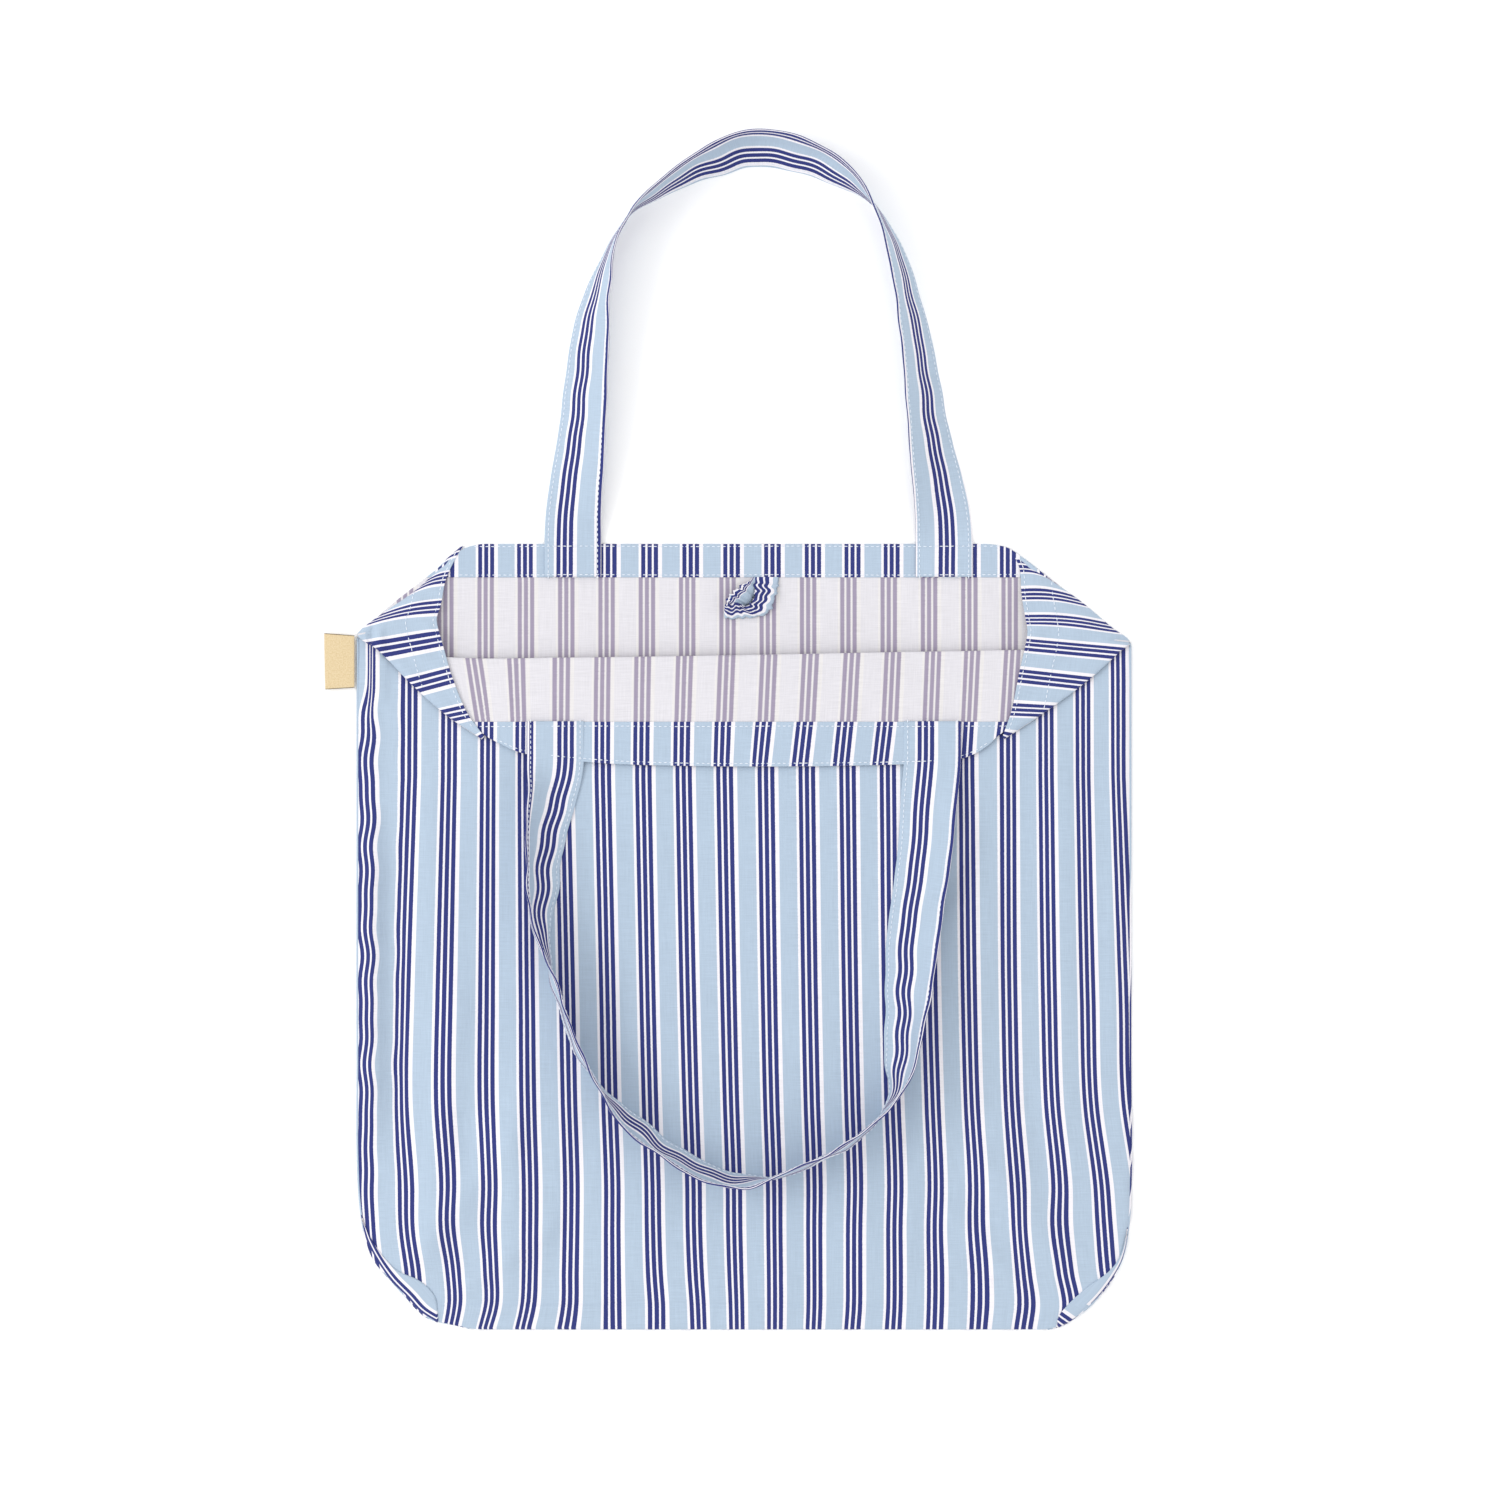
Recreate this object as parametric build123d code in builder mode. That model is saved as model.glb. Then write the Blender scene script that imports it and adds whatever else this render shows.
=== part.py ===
"""A striped cotton tote bag, empty and laid flat on its back, its mouth folded open over the front.

+X is across the bag, +Y runs from the bottom fold towards the mouth, +Z is up off the table.
The origin is on the underside of the back panel, at the middle of the panel.
"""
from build123d import *
import math
import os

os.makedirs("parts", exist_ok=True)

# Cloth and gaps, mm
cloth = 1.0  # thickness given to one layer, with its share of the air between layers
gap = 0.3  # clear space between two layers that lie on each other
step = cloth + gap  # from one layer to the next
lift = 80.0  # taller than the whole bag, for cutting a layer to its plan shape

# The bag's body, mm
body_w = 410.0
body_l = 418.0
left_corner_r = 66.0
right_corner_r = 46.0
seam_w = 4.0  # width of the side seams and of the bottom fold
half_w = body_w / 2
half_l = body_l / 2
inner_w = half_w - seam_w  # the crowned layers reach this far from the middle

# The mouth: the front's top is turned over outwards, and the sides fold flat as two ears
mouth_left = -148.0
mouth_right = 144.0
ear_y = 158.0  # height of the outer point of each ear
fold_y = 150.0  # where the front's top turns over
hem_w = 20.0
front_rim_y = 90.5
rim_straight = 80.0  # the front rim is straight this far each side of the middle
ear_tip_x = 135.0
ear_tip_y = 104.0
ear_belly_y = 152.0  # the ear's rim bends most here
ear_belly = 5.0  # by this much, outwards

# The front's crown: how far its middle stands above its sides, along the bag
crown = [(-half_l + seam_w, 2.0), (-175.0, 9.0), (-130.0, 14.0), (0.0, 16.0), (fold_y, 15.0)]
front_base = 3.0  # underside of the front at the side seams
turn_base = front_base + step
hem_base = turn_base + step
top_base = hem_base + step  # ears and the ends of the front strap
rim_sink = -7.0  # crown of the ears at the back rim, where they come down to the table

# Straps
strap_w = 28.0
strap_t = 1.6
strap_sections = 32
hinge_gap = 0.9  # from a strap's hinge line to its free part
back_feet = (-90.5, 106.0)  # middle of each foot of the back strap
front_feet = (-99.5, 99.5)
back_foot_depth = 18.0
front_foot_depth = 24.0
strap_clear = 1.2  # from the front panel up to the strap that lies on it

# Elastic loop, inside the back hem
loop_r = 3.4
elastic_r = 1.3
loop_z = cloth + loop_r + gap

# Side label
label_w = 17.0
label_gap = 1.0  # from the side seam to the label's free part
label_l = 29.0
label_y = 146.0
label_z = 2.0

# Sewing thread
thread_w = 0.7
thread_t = 0.4
stitch_inset = 2.6  # from a hem's edge to the row of stitches


def rise_at(y):
    """The crown at a place along the bag, straight between its stations."""
    for (y0, r0), (y1, r1) in zip(crown, crown[1:]):
        if y <= y1:
            return r0 + (r1 - r0) * (max(y, y0) - y0) / (y1 - y0)
    return crown[-1][1]


def height_at(x, y, base):
    """Height of a crowned layer that starts at the given base."""
    return base + rise_at(y) * (1 - (x / inner_w) ** 2)


def band(y, base, rise, thick=cloth):
    """Cross-section of a crowned layer: an arc band from one side of the bag to the other."""
    with BuildSketch(Plane.XZ.offset(-y), mode=Mode.PRIVATE) as section:
        with BuildLine():
            low = ThreePointArc((-inner_w, base), (0, base + rise), (inner_w, base))
            high = ThreePointArc((-inner_w, base + thick), (0, base + thick + rise), (inner_w, base + thick))
            Line(low @ 0, high @ 0)
            Line(low @ 1, high @ 1)
        make_face()
    return section.sketch


def layer(y_from, y_to, base, thick=cloth):
    """The cross-sections of a layer between two places along the bag."""
    inside = [y for y, _ in crown if y_from < y < y_to]
    return [band(y, base, rise_at(y), thick) for y in [y_from, *inside, y_to]]


def ear_layer(base, thick=cloth):
    """The cross-sections of an ear, which comes down to the back panel at the rim."""
    sunk = band(half_l, base, rim_sink, thick)
    return [band(ear_tip_y - seam_w, base, rise_at(ear_tip_y), thick), band(fold_y, base, rise_at(fold_y), thick), sunk]


def body_plan(inset=0.0, top=None):
    """Outline of the bag's body: round bottom corners, and top corners folded in at a slant."""
    w = half_w - inset
    with BuildSketch(mode=Mode.PRIVATE) as plan:
        with BuildLine():
            if top is None:
                Polyline(
                    (-w, -half_l + inset),
                    (-w, ear_y),
                    (mouth_left, half_l),
                    (mouth_right, half_l),
                    (w, ear_y),
                    (w, -half_l + inset),
                    close=True,
                )
            else:
                Polyline((-w, -half_l + inset), (-w, top), (w, top), (w, -half_l + inset), close=True)
        make_face()
        fillet(plan.vertices().group_by(Axis.Y)[0].sort_by(Axis.X)[-1], radius=right_corner_r - inset)
        fillet(plan.vertices().group_by(Axis.Y)[0].sort_by(Axis.X)[0], radius=left_corner_r - inset)
    return plan.sketch


def flap_plan(y_top, y_low=front_rim_y, inset=0.0):
    """Outline of the turned-over front: slanted sides, and a rim that is straight between round ends."""
    spread = half_w - seam_w - (ear_y - y_top)
    with BuildSketch(mode=Mode.PRIVATE) as plan:
        with BuildLine():
            Line((-spread, y_top), (spread, y_top))
            for side in (-1, 1):
                Line((side * spread, y_top), (side * (ear_tip_x - inset), ear_tip_y))
                end = ThreePointArc(
                    (side * (ear_tip_x - inset), ear_tip_y),
                    (side * (ear_tip_x - inset - 15), ear_tip_y - 8),
                    (side * rim_straight, y_low),
                )
            Line((-rim_straight, y_low), (rim_straight, y_low))
        make_face()
    return plan.sketch


def ear_plan(side, mouth_x, inset=0.0):
    """Outline of an ear: its outer point, the slanted fold up to the rim's corner, the rim, the fold back."""
    with BuildSketch(mode=Mode.PRIVATE) as plan:
        with BuildLine():
            Line((side * inner_w, ear_y - inset), (mouth_x, half_l - inset))
            ThreePointArc(
                (mouth_x, half_l - inset),
                (mouth_x + side * ear_belly, ear_belly_y),
                (side * ear_tip_x, ear_tip_y),
            )
            Line((side * ear_tip_x, ear_tip_y), (side * inner_w, ear_y - inset))
        make_face()
    return plan.sketch


def ear_strip(side, mouth_x, near, far):
    """A strip that follows an ear's rim, from near to far away from it."""
    with BuildSketch(mode=Mode.PRIVATE) as plan:
        with BuildLine():
            edges = []
            for out in (near, far):
                edges.append(
                    ThreePointArc(
                        (mouth_x + side * out, half_l),
                        (mouth_x + side * (ear_belly + out), ear_belly_y),
                        (side * (ear_tip_x + out), ear_tip_y - 4),
                    )
                )
            Line(edges[0] @ 0, edges[1] @ 0)
            Line(edges[0] @ 1, edges[1] @ 1)
        make_face()
    return plan.sketch


def box_plan(x0, x1, y0, y1):
    """A plain rectangle between two corners."""
    with BuildSketch(mode=Mode.PRIVATE) as plan:
        with Locations(((x0 + x1) / 2, (y0 + y1) / 2)):
            Rectangle(x1 - x0, y1 - y0)
    return plan.sketch


def finish(built, name):
    """Names a finished piece and writes it to its own file."""
    built.part.label = name
    export_step(built.part, f"parts/{name}.step")


# ---------------------------------------------------------------- body cloth

with BuildPart() as back_panel:
    add(body_plan())
    extrude(amount=cloth)
finish(back_panel, "back_panel")

with BuildPart() as front_panel:
    loft(sections=layer(-half_l + seam_w, fold_y, front_base), ruled=True)
    add(body_plan(inset=seam_w, top=fold_y))
    extrude(amount=lift, mode=Mode.INTERSECT)
finish(front_panel, "front_panel")

with BuildPart() as front_turnover:
    loft(sections=layer(front_rim_y, fold_y, turn_base), ruled=True)
    add(flap_plan(fold_y))
    extrude(amount=lift, mode=Mode.INTERSECT)
    fold = [band(y, front_base, rise_at(fold_y), cloth + step) for y in (fold_y, fold_y + cloth)]
    loft(sections=fold, ruled=True)
finish(front_turnover, "front_turnover")

for name, side, mouth_x in (("left_ear", -1, mouth_left), ("right_ear", 1, mouth_right)):
    with BuildPart() as ear_fold:
        loft(sections=ear_layer(cloth, top_base), ruled=True)
        with BuildSketch(Plane.XY.offset(cloth)):
            add(ear_plan(side, mouth_x))
            add(ear_plan(side, mouth_x, inset=cloth), mode=Mode.SUBTRACT)
            add(box_plan(-half_w, half_w, fold_y + step, half_l), mode=Mode.INTERSECT)
        extrude(amount=lift, mode=Mode.INTERSECT)
    with BuildPart() as ear:
        loft(sections=ear_layer(top_base), ruled=True)
        add(ear_plan(side, mouth_x))
        extrude(amount=lift, mode=Mode.INTERSECT)
        add(ear_fold.part)
    finish(ear, name)

# ---------------------------------------------------------------- hems

with BuildPart() as back_hem:
    with BuildSketch(Plane.XY.offset(cloth)):
        add(box_plan(mouth_left + hem_w, mouth_right - hem_w, half_l - hem_w, half_l))
    extrude(amount=cloth)
finish(back_hem, "back_hem")

with BuildPart() as front_hem:
    loft(sections=layer(front_rim_y, front_rim_y + hem_w + 3, hem_base), ruled=True)
    add(flap_plan(fold_y, inset=3))
    extrude(amount=lift, mode=Mode.INTERSECT)
    add(box_plan(-ear_tip_x + 4, ear_tip_x - 4, 0, half_l))
    extrude(amount=lift, mode=Mode.INTERSECT)
finish(front_hem, "front_hem")

for name, side, mouth_x in (("left_ear_hem", -1, mouth_left), ("right_ear_hem", 1, mouth_right)):
    with BuildPart() as ear_hem:
        loft(sections=ear_layer(hem_base), ruled=True)
        add(ear_strip(side, mouth_x, 0.5, hem_w - 4))
        extrude(amount=lift, mode=Mode.INTERSECT)
        add(ear_plan(side, mouth_x, inset=2 * step))
        extrude(amount=lift, mode=Mode.INTERSECT)
    finish(ear_hem, name)

# ---------------------------------------------------------------- seams round the body

for name, side, corner_r in (
    ("left_side_seam", -1, left_corner_r),
    ("right_side_seam", 1, right_corner_r),
):
    with BuildPart() as side_seam:
        with BuildSketch(Plane.XY.offset(cloth)):
            outer, inner = sorted((side * half_w, side * inner_w))
            add(box_plan(outer, inner, -half_l + corner_r, ear_y - step))
        extrude(amount=front_base)
    finish(side_seam, name)

for name, side, corner_r in (
    ("left_corner_seam", -1, left_corner_r),
    ("right_corner_seam", 1, right_corner_r),
):
    centre = (side * (half_w - corner_r), -half_l + corner_r)
    with BuildPart() as corner_seam:
        with BuildSketch(Plane.XY.offset(cloth)):
            with Locations(centre):
                Circle(corner_r)
                Circle(corner_r - seam_w, mode=Mode.SUBTRACT)
            outer, inner = sorted((side * half_w, centre[0]))
            add(box_plan(outer, inner, -half_l, centre[1]), mode=Mode.INTERSECT)
        extrude(amount=front_base)
    finish(corner_seam, name)

with BuildPart() as bottom_fold:
    with BuildSketch(Plane.XY.offset(cloth)):
        add(box_plan(-half_w + left_corner_r, half_w - right_corner_r, -half_l, -half_l + seam_w))
    extrude(amount=front_base)
finish(bottom_fold, "bottom_fold")

# ---------------------------------------------------------------- strap ends, sewn down inside the hems

for name, foot in (("back_strap_left_end", back_feet[0]), ("back_strap_right_end", back_feet[1])):
    with BuildPart() as back_end:
        with BuildSketch(Plane.XY.offset(2 * cloth)):
            add(box_plan(foot - strap_w / 2, foot + strap_w / 2, half_l - back_foot_depth, half_l))
        extrude(amount=strap_t)
    finish(back_end, name)

for name, foot in (("front_strap_left_end", front_feet[0]), ("front_strap_right_end", front_feet[1])):
    with BuildPart() as front_end:
        y_top = front_rim_y + front_foot_depth
        loft(sections=layer(front_rim_y, y_top, top_base, strap_t), ruled=True)
        add(box_plan(foot - strap_w / 2, foot + strap_w / 2, front_rim_y + 2.4, y_top))
        extrude(amount=lift, mode=Mode.INTERSECT)
    finish(front_end, name)


# ---------------------------------------------------------------- free straps


def strap_plane(x, y, z, ahead_x, ahead_y, ahead_z, roll):
    """Plane across a strap: roll is 0 where the strap lies flat and 90 where it stands on edge."""
    ahead = Vector(ahead_x, ahead_y, ahead_z).normalized()
    across = ahead.cross(Vector(0, 0, 1)).normalized()
    return Plane((x, y, z), x_dir=across.rotate(Axis((0, 0, 0), ahead), roll), z_dir=ahead)


def roll_along(share, turns):
    """How far the strap is rolled at a share of its length, smooth between the given stations."""
    for (s0, r0), (s1, r1) in zip(turns, turns[1:]):
        if share <= s1:
            t = (share - s0) / (s1 - s0)
            return r0 + (r1 - r0) * t * t * (3 - 2 * t)
    return turns[-1][1]


def strap_sections_along(route, turns, floor_at):
    """Cross-sections of a strap whose lower edge rests on the height that floor_at gives."""
    points = []
    for i in range(strap_sections + 1):
        share = i / strap_sections
        here = route @ share
        roll = roll_along(share, turns)
        lean = math.radians(roll)
        stand = strap_w / 2 * abs(math.sin(lean)) + strap_t / 2 * abs(math.cos(lean))
        points.append((here.X, here.Y, floor_at(share, here.X, here.Y) + stand, roll))
    sections = []
    for i, (x, y, z, roll) in enumerate(points):
        before = points[max(i - 1, 0)]
        after = points[min(i + 1, strap_sections)]
        ahead = [after[k] - before[k] for k in range(3)]
        if i in (0, strap_sections):
            ahead[0] = 0
            ahead[2] = 0
        with BuildSketch(strap_plane(x, y, z, *ahead, roll), mode=Mode.PRIVATE) as section:
            Rectangle(strap_w, strap_t)
        sections.append(section.sketch)
    return sections


back_start = half_l + hinge_gap
with BuildLine(mode=Mode.PRIVATE) as back_route:
    Spline(
        (back_feet[0], back_start),
        (-75.5, 348),
        (-56, 386),
        (4, 417),
        (67, 388),
        (83.5, 348),
        (back_feet[1], back_start),
        tangents=[(0.06, 1), (0.1, -1)],
    )
back_turns = [(0, 0), (0.05, 4), (0.3, 68), (0.38, 84), (0.5, 63), (0.62, 84), (0.7, 68), (0.95, 4), (1, 0)]


def table_under(share, x, y):
    """The back strap comes down from the hem to the table."""
    away = min(abs(y - half_l) / 60, 1)
    return 0.05 + 2 * cloth * (1 - away) ** 2


with BuildPart() as back_strap:
    loft(sections=strap_sections_along(back_route.line, back_turns, table_under), ruled=True)
finish(back_strap, "back_strap")

front_start = front_rim_y - hinge_gap
with BuildLine(mode=Mode.PRIVATE) as front_route:
    Spline(
        (front_feet[0], front_start),
        (-105.5, 37),
        (-103, -8),
        (-76, -76),
        (-46, -106),
        (3, -127),
        (66, -100),
        (85, -60),
        (88, -7),
        (93, 30),
        (front_feet[1], front_start),
        tangents=[(0, -1), (0.1, 1)],
    )
front_turns = [(0, 0), (0.06, 8), (0.2, 80), (0.5, 74), (0.64, 78), (0.74, 74), (0.84, 30), (1, 0)]


def front_under(share, x, y):
    """The front strap comes down from the turned-over hem to the front panel."""
    away = min(abs(y - front_rim_y) / 40, 1)
    over = (top_base - front_base - cloth - strap_clear) * (1 - away) ** 2
    return height_at(x, y, front_base + cloth) + strap_clear + over


with BuildPart() as front_strap:
    loft(sections=strap_sections_along(front_route.line, front_turns, front_under), ruled=True)
finish(front_strap, "front_strap")

# ---------------------------------------------------------------- elastic loop

with BuildLine(mode=Mode.PRIVATE) as loop_route:
    FilletPolyline(
        (7.5, half_l - hem_w - 2, loop_z),
        (-7.8, 183.5, loop_z),
        (-7.3, 171, loop_z),
        (12, 171, loop_z),
        (14.5, half_l - hem_w - 2, loop_z),
        radius=4.2,
    )
loop_foot = Plane(loop_route.line @ 0, z_dir=loop_route.line % 0)

with BuildPart() as loop_casing:
    with BuildSketch(loop_foot):
        Circle(loop_r)
        Circle(elastic_r + 0.1, mode=Mode.SUBTRACT)
    sweep(path=loop_route.line)
finish(loop_casing, "loop_casing")

with BuildPart() as loop_elastic:
    with BuildSketch(loop_foot):
        Circle(elastic_r)
    sweep(path=loop_route.line)
finish(loop_elastic, "loop_elastic")

# ---------------------------------------------------------------- side label

with BuildPart() as side_label:
    with BuildSketch(Plane.XY.offset(label_z)):
        add(box_plan(-half_w - label_w, -half_w - label_gap, label_y - label_l / 2, label_y + label_l / 2))
    extrude(amount=cloth)
finish(side_label, "side_label")

# ---------------------------------------------------------------- rows of thread

with BuildPart() as back_hem_stitching:
    with BuildSketch(Plane.XY.offset(2 * cloth)):
        for y in (half_l - stitch_inset, half_l - hem_w + stitch_inset):
            clear = [mouth_left + hem_w + 1, *sorted(f + s * (strap_w / 2 + 0.5) for f in back_feet for s in (-1, 1))]
            clear.append(mouth_right - hem_w - 1)
            for x0, x1 in zip(clear[::2], clear[1::2]):
                add(box_plan(x0, x1, y - thread_w / 2, y + thread_w / 2))
    extrude(amount=thread_t)
finish(back_hem_stitching, "back_hem_stitching")

with BuildPart() as front_hem_stitching:
    for y in (front_rim_y + stitch_inset, front_rim_y + hem_w + 3 - stitch_inset):
        loft(sections=[band(v, hem_base + cloth + 0.02, rise_at(v), thread_t) for v in (y, y + thread_w)], ruled=True)
    spans = []
    for x0, x1 in ((-120, -114.5), (-84.5, 84.5), (114.5, 120)):
        spans.append(box_plan(x0, x1, 0, half_l))
    add(spans)
    extrude(amount=lift, mode=Mode.INTERSECT)
finish(front_hem_stitching, "front_hem_stitching")

with BuildPart() as ear_stitching:
    loft(sections=ear_layer(top_base + cloth + 0.02, thread_t), ruled=True)
    rows = []
    for side, mouth_x in ((-1, mouth_left), (1, mouth_right)):
        for near in (2.0, hem_w - 5):
            rows.append(ear_strip(side, mouth_x, near, near + thread_w))
    add(rows)
    extrude(amount=lift, mode=Mode.INTERSECT)
    add([ear_plan(-1, mouth_left, inset=3), ear_plan(1, mouth_right, inset=3)])
    extrude(amount=lift, mode=Mode.INTERSECT)
finish(ear_stitching, "ear_stitching")

with BuildPart() as strap_end_stitching:
    with BuildSketch(Plane.XY.offset(2 * cloth + strap_t)):
        for foot in back_feet:
            for y in (half_l - stitch_inset, half_l - back_foot_depth + stitch_inset):
                add(box_plan(foot - strap_w / 2 + 1, foot + strap_w / 2 - 1, y - thread_w / 2, y + thread_w / 2))
    extrude(amount=thread_t)
finish(strap_end_stitching, "strap_end_stitching")
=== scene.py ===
"""A striped cotton tote bag, empty and laid flat, with its mouth folded open over the front."""

import math

import bpy
import numpy as np
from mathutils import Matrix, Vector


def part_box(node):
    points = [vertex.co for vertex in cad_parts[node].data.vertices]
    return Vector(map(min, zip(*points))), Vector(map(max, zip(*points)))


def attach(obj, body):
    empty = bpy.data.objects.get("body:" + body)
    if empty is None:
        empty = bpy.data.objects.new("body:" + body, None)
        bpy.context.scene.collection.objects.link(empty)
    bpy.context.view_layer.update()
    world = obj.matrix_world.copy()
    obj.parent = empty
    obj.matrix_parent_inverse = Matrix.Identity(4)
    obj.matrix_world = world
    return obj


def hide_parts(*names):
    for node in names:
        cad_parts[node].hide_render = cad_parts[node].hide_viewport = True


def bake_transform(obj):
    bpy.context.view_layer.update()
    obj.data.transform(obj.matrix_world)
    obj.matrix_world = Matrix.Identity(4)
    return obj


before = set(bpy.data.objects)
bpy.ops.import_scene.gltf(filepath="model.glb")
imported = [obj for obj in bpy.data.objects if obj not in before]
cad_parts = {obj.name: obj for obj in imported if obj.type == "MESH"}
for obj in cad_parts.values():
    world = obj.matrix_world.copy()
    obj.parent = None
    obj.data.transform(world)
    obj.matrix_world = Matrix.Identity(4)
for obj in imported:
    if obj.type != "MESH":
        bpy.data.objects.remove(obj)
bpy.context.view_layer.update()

# ---------------------------------------------------------------- camera
# A camera on a tall stand straight above the bag, with a long lens, so that its upright edges don't lean.
# It points straight down, midway along the bag with its back strap laid out.

stand_height = 3.0  # m
seen_width = 0.795  # m, across the table
sensor_width = 36.0  # mm
seen_from = (0.0032, 0.0991)  # m

camera_data = bpy.data.cameras.new("camera_above")
camera_data.sensor_width = sensor_width
camera_data.lens = sensor_width * stand_height / seen_width
camera = bpy.data.objects.new("camera_above", camera_data)
camera.location = (*seen_from, stand_height)
bpy.context.scene.collection.objects.link(camera)
bpy.context.scene.camera = camera

# ---------------------------------------------------------------- the cotton
# Plain-woven cotton, printed with stripes along the warp: three navy lines on white, then a broad pale blue
# band. The dyes go in from one side, so the wrong side is nearly white, with the navy showing through as
# lilac grey. The print is set out in the cloth's own coordinates, so it turns wherever the cloth turns.

warp_spacing = 0.45  # mm; real threads are about 0.25 apart, so they are drawn coarser here to show at all
stripe_widths = [
    ("white", 1.3),
    ("navy", 2.2),
    ("white", 1.07),
    ("navy", 2.2),
    ("white", 1.07),
    ("navy", 2.2),
    ("white", 2.1),
    ("blue", 9.22),
]
repeat = sum(width for _, width in stripe_widths)
middle_line = 5.67  # from the repeat's start to the middle navy line
middle_line_x = 13.25  # where a middle navy line lies on the front of the bag
whole_repeats = 40  # added so that the count of repeats stays above zero all over the cloth
threads_per_metre = 1000 / warp_spacing
times = {"operation": "MULTIPLY"}
times_plus = {"operation": "MULTIPLY_ADD"}


def linear(colour):
    """An sRGB hex colour as the linear numbers that a shader takes."""
    parts = [int(colour[i : i + 2], 16) / 255 for i in (1, 3, 5)]
    return (*[c / 12.92 if c <= 0.04045 else ((c + 0.055) / 1.055) ** 2.4 for c in parts], 1.0)


def step(tree, kind, settings=(), **inputs):
    """Adds a node. An input is a value, a node or a node's output; in_0 names a socket by its number."""
    made = tree.nodes.new(kind if "Node" in kind else "ShaderNode" + kind)
    for key, value in dict(settings).items():
        setattr(made, key, value)
    for key, value in inputs.items():
        socket = made.inputs[int(key[3:])] if key.startswith("in_") else made.inputs[key.replace("_", " ")]
        if isinstance(value, bpy.types.Node):
            value = value.outputs[0]
        if isinstance(value, bpy.types.NodeSocket):
            tree.links.new(value, socket)
        else:
            socket.default_value = value
    return made


def new_material(name):
    """A material with its output and a shader that has the refractive index of plant fibre."""
    made = bpy.data.materials.new(name)
    made.use_nodes = True
    tree = made.node_tree
    tree.nodes.clear()
    shader = step(tree, "BsdfPrincipled")
    shader.inputs["IOR"].default_value = 1.45
    out = step(tree, "OutputMaterial")
    tree.links.new(shader.outputs["BSDF"], out.inputs["Surface"])
    return made, tree, shader


def woven_cotton(name, colours, soft, roughness, sheen):
    """Striped cotton: the print's own coordinates are metres across and along the cloth."""
    made, tree, shader = new_material(name)
    place = step(tree, "UVMap", {"uv_map": "print"})
    apart = step(tree, "SeparateXYZ", in_0=place)
    across, along = apart.outputs[0], apart.outputs[1]

    # threads: streaks along the warp, and finer ones across it
    warp_x = step(tree, "Math", times, in_0=across, in_1=threads_per_metre)
    warp_y = step(tree, "Math", times, in_0=along, in_1=60.0)
    warp_at = step(tree, "CombineXYZ", in_0=warp_x, in_1=warp_y)
    warp = step(tree, "TexNoise", Vector=warp_at, Scale=1.0, Detail=3.0, Roughness=0.6)
    weft_x = step(tree, "Math", times, in_0=across, in_1=90.0)
    weft_y = step(tree, "Math", times, in_0=along, in_1=threads_per_metre)
    weft_at = step(tree, "CombineXYZ", in_0=weft_x, in_1=weft_y)
    weft = step(tree, "TexNoise", Vector=weft_at, Scale=1.0, Detail=2.0, Roughness=0.5)

    # the print's edge follows the threads, so it wavers by a fraction of a thread
    waver = step(tree, "Math", times_plus, in_0=weft.outputs["Fac"], in_1=0.0003, in_2=-0.00015)
    wavered = step(tree, "Math", {"operation": "ADD"}, in_0=across, in_1=waver)
    first_repeat = (middle_line - middle_line_x) / repeat + whole_repeats
    repeats = step(tree, "Math", times_plus, in_0=wavered, in_1=1000 / repeat, in_2=first_repeat)
    share = step(tree, "Math", {"operation": "FRACT"}, in_0=repeats)
    ramp = step(tree, "ValToRGB", in_0=share)
    stops = ramp.color_ramp
    stops.interpolation = "LINEAR" if soft else "CONSTANT"
    marks = []
    start = 0.0
    for stripe, width in stripe_widths:
        if soft:
            marks += [(start + soft, stripe), (start + width - soft, stripe)]
        else:
            marks.append((start, stripe))
        start += width
    while len(stops.elements) < len(marks):
        stops.elements.new(0.5)
    for element, (at, stripe) in zip(stops.elements, marks):
        element.position = min(at / repeat, 1.0)
        element.color = linear(colours[stripe])

    # a thread more or less dyed, and faint clouds from the wash
    clouds = step(tree, "TexNoise", Vector=place, Scale=18.0, Detail=2.0, Roughness=0.5)
    shade = step(tree, "Math", {"operation": "ADD"}, in_0=warp.outputs["Fac"], in_1=weft.outputs["Fac"])
    shade = step(tree, "Math", times_plus, in_0=shade, in_1=0.24, in_2=0.76)
    shade = step(tree, "Math", times_plus, in_0=clouds.outputs["Fac"], in_1=0.06, in_2=shade)
    shade = step(tree, "Math", {"operation": "SUBTRACT"}, in_0=shade, in_1=0.03)
    over = {"data_type": "RGBA", "blend_type": "MULTIPLY"}
    dyed = step(tree, "Mix", over, in_0=1.0, in_6=ramp, in_7=shade)
    tree.links.new(dyed.outputs[2], shader.inputs["Base Color"])

    # the threads stand a little proud where they cross
    weave = step(tree, "Math", times, in_0=warp.outputs["Fac"], in_1=weft.outputs["Fac"])
    bump = step(tree, "Bump", Height=weave, Strength=0.35, Distance=0.00025)
    tree.links.new(bump.outputs[0], shader.inputs["Normal"])
    shader.inputs["Roughness"].default_value = roughness
    shader.inputs["Sheen Weight"].default_value = sheen
    shader.inputs["Sheen Roughness"].default_value = 0.5
    shader.inputs["Specular IOR Level"].default_value = 0.15
    return made


# Printed cotton, unglazed and washed: matte, with crisp stripes, faint streaks of thread and a trace of fuzz.
print_side_dyes = {"white": "#E3E0E5", "navy": "#313873", "blue": "#A8B8C9"}
striped_cotton = woven_cotton(
    "striped_cotton_print_side", print_side_dyes, soft=0.0, roughness=0.85, sheen=0.03
)

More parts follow.
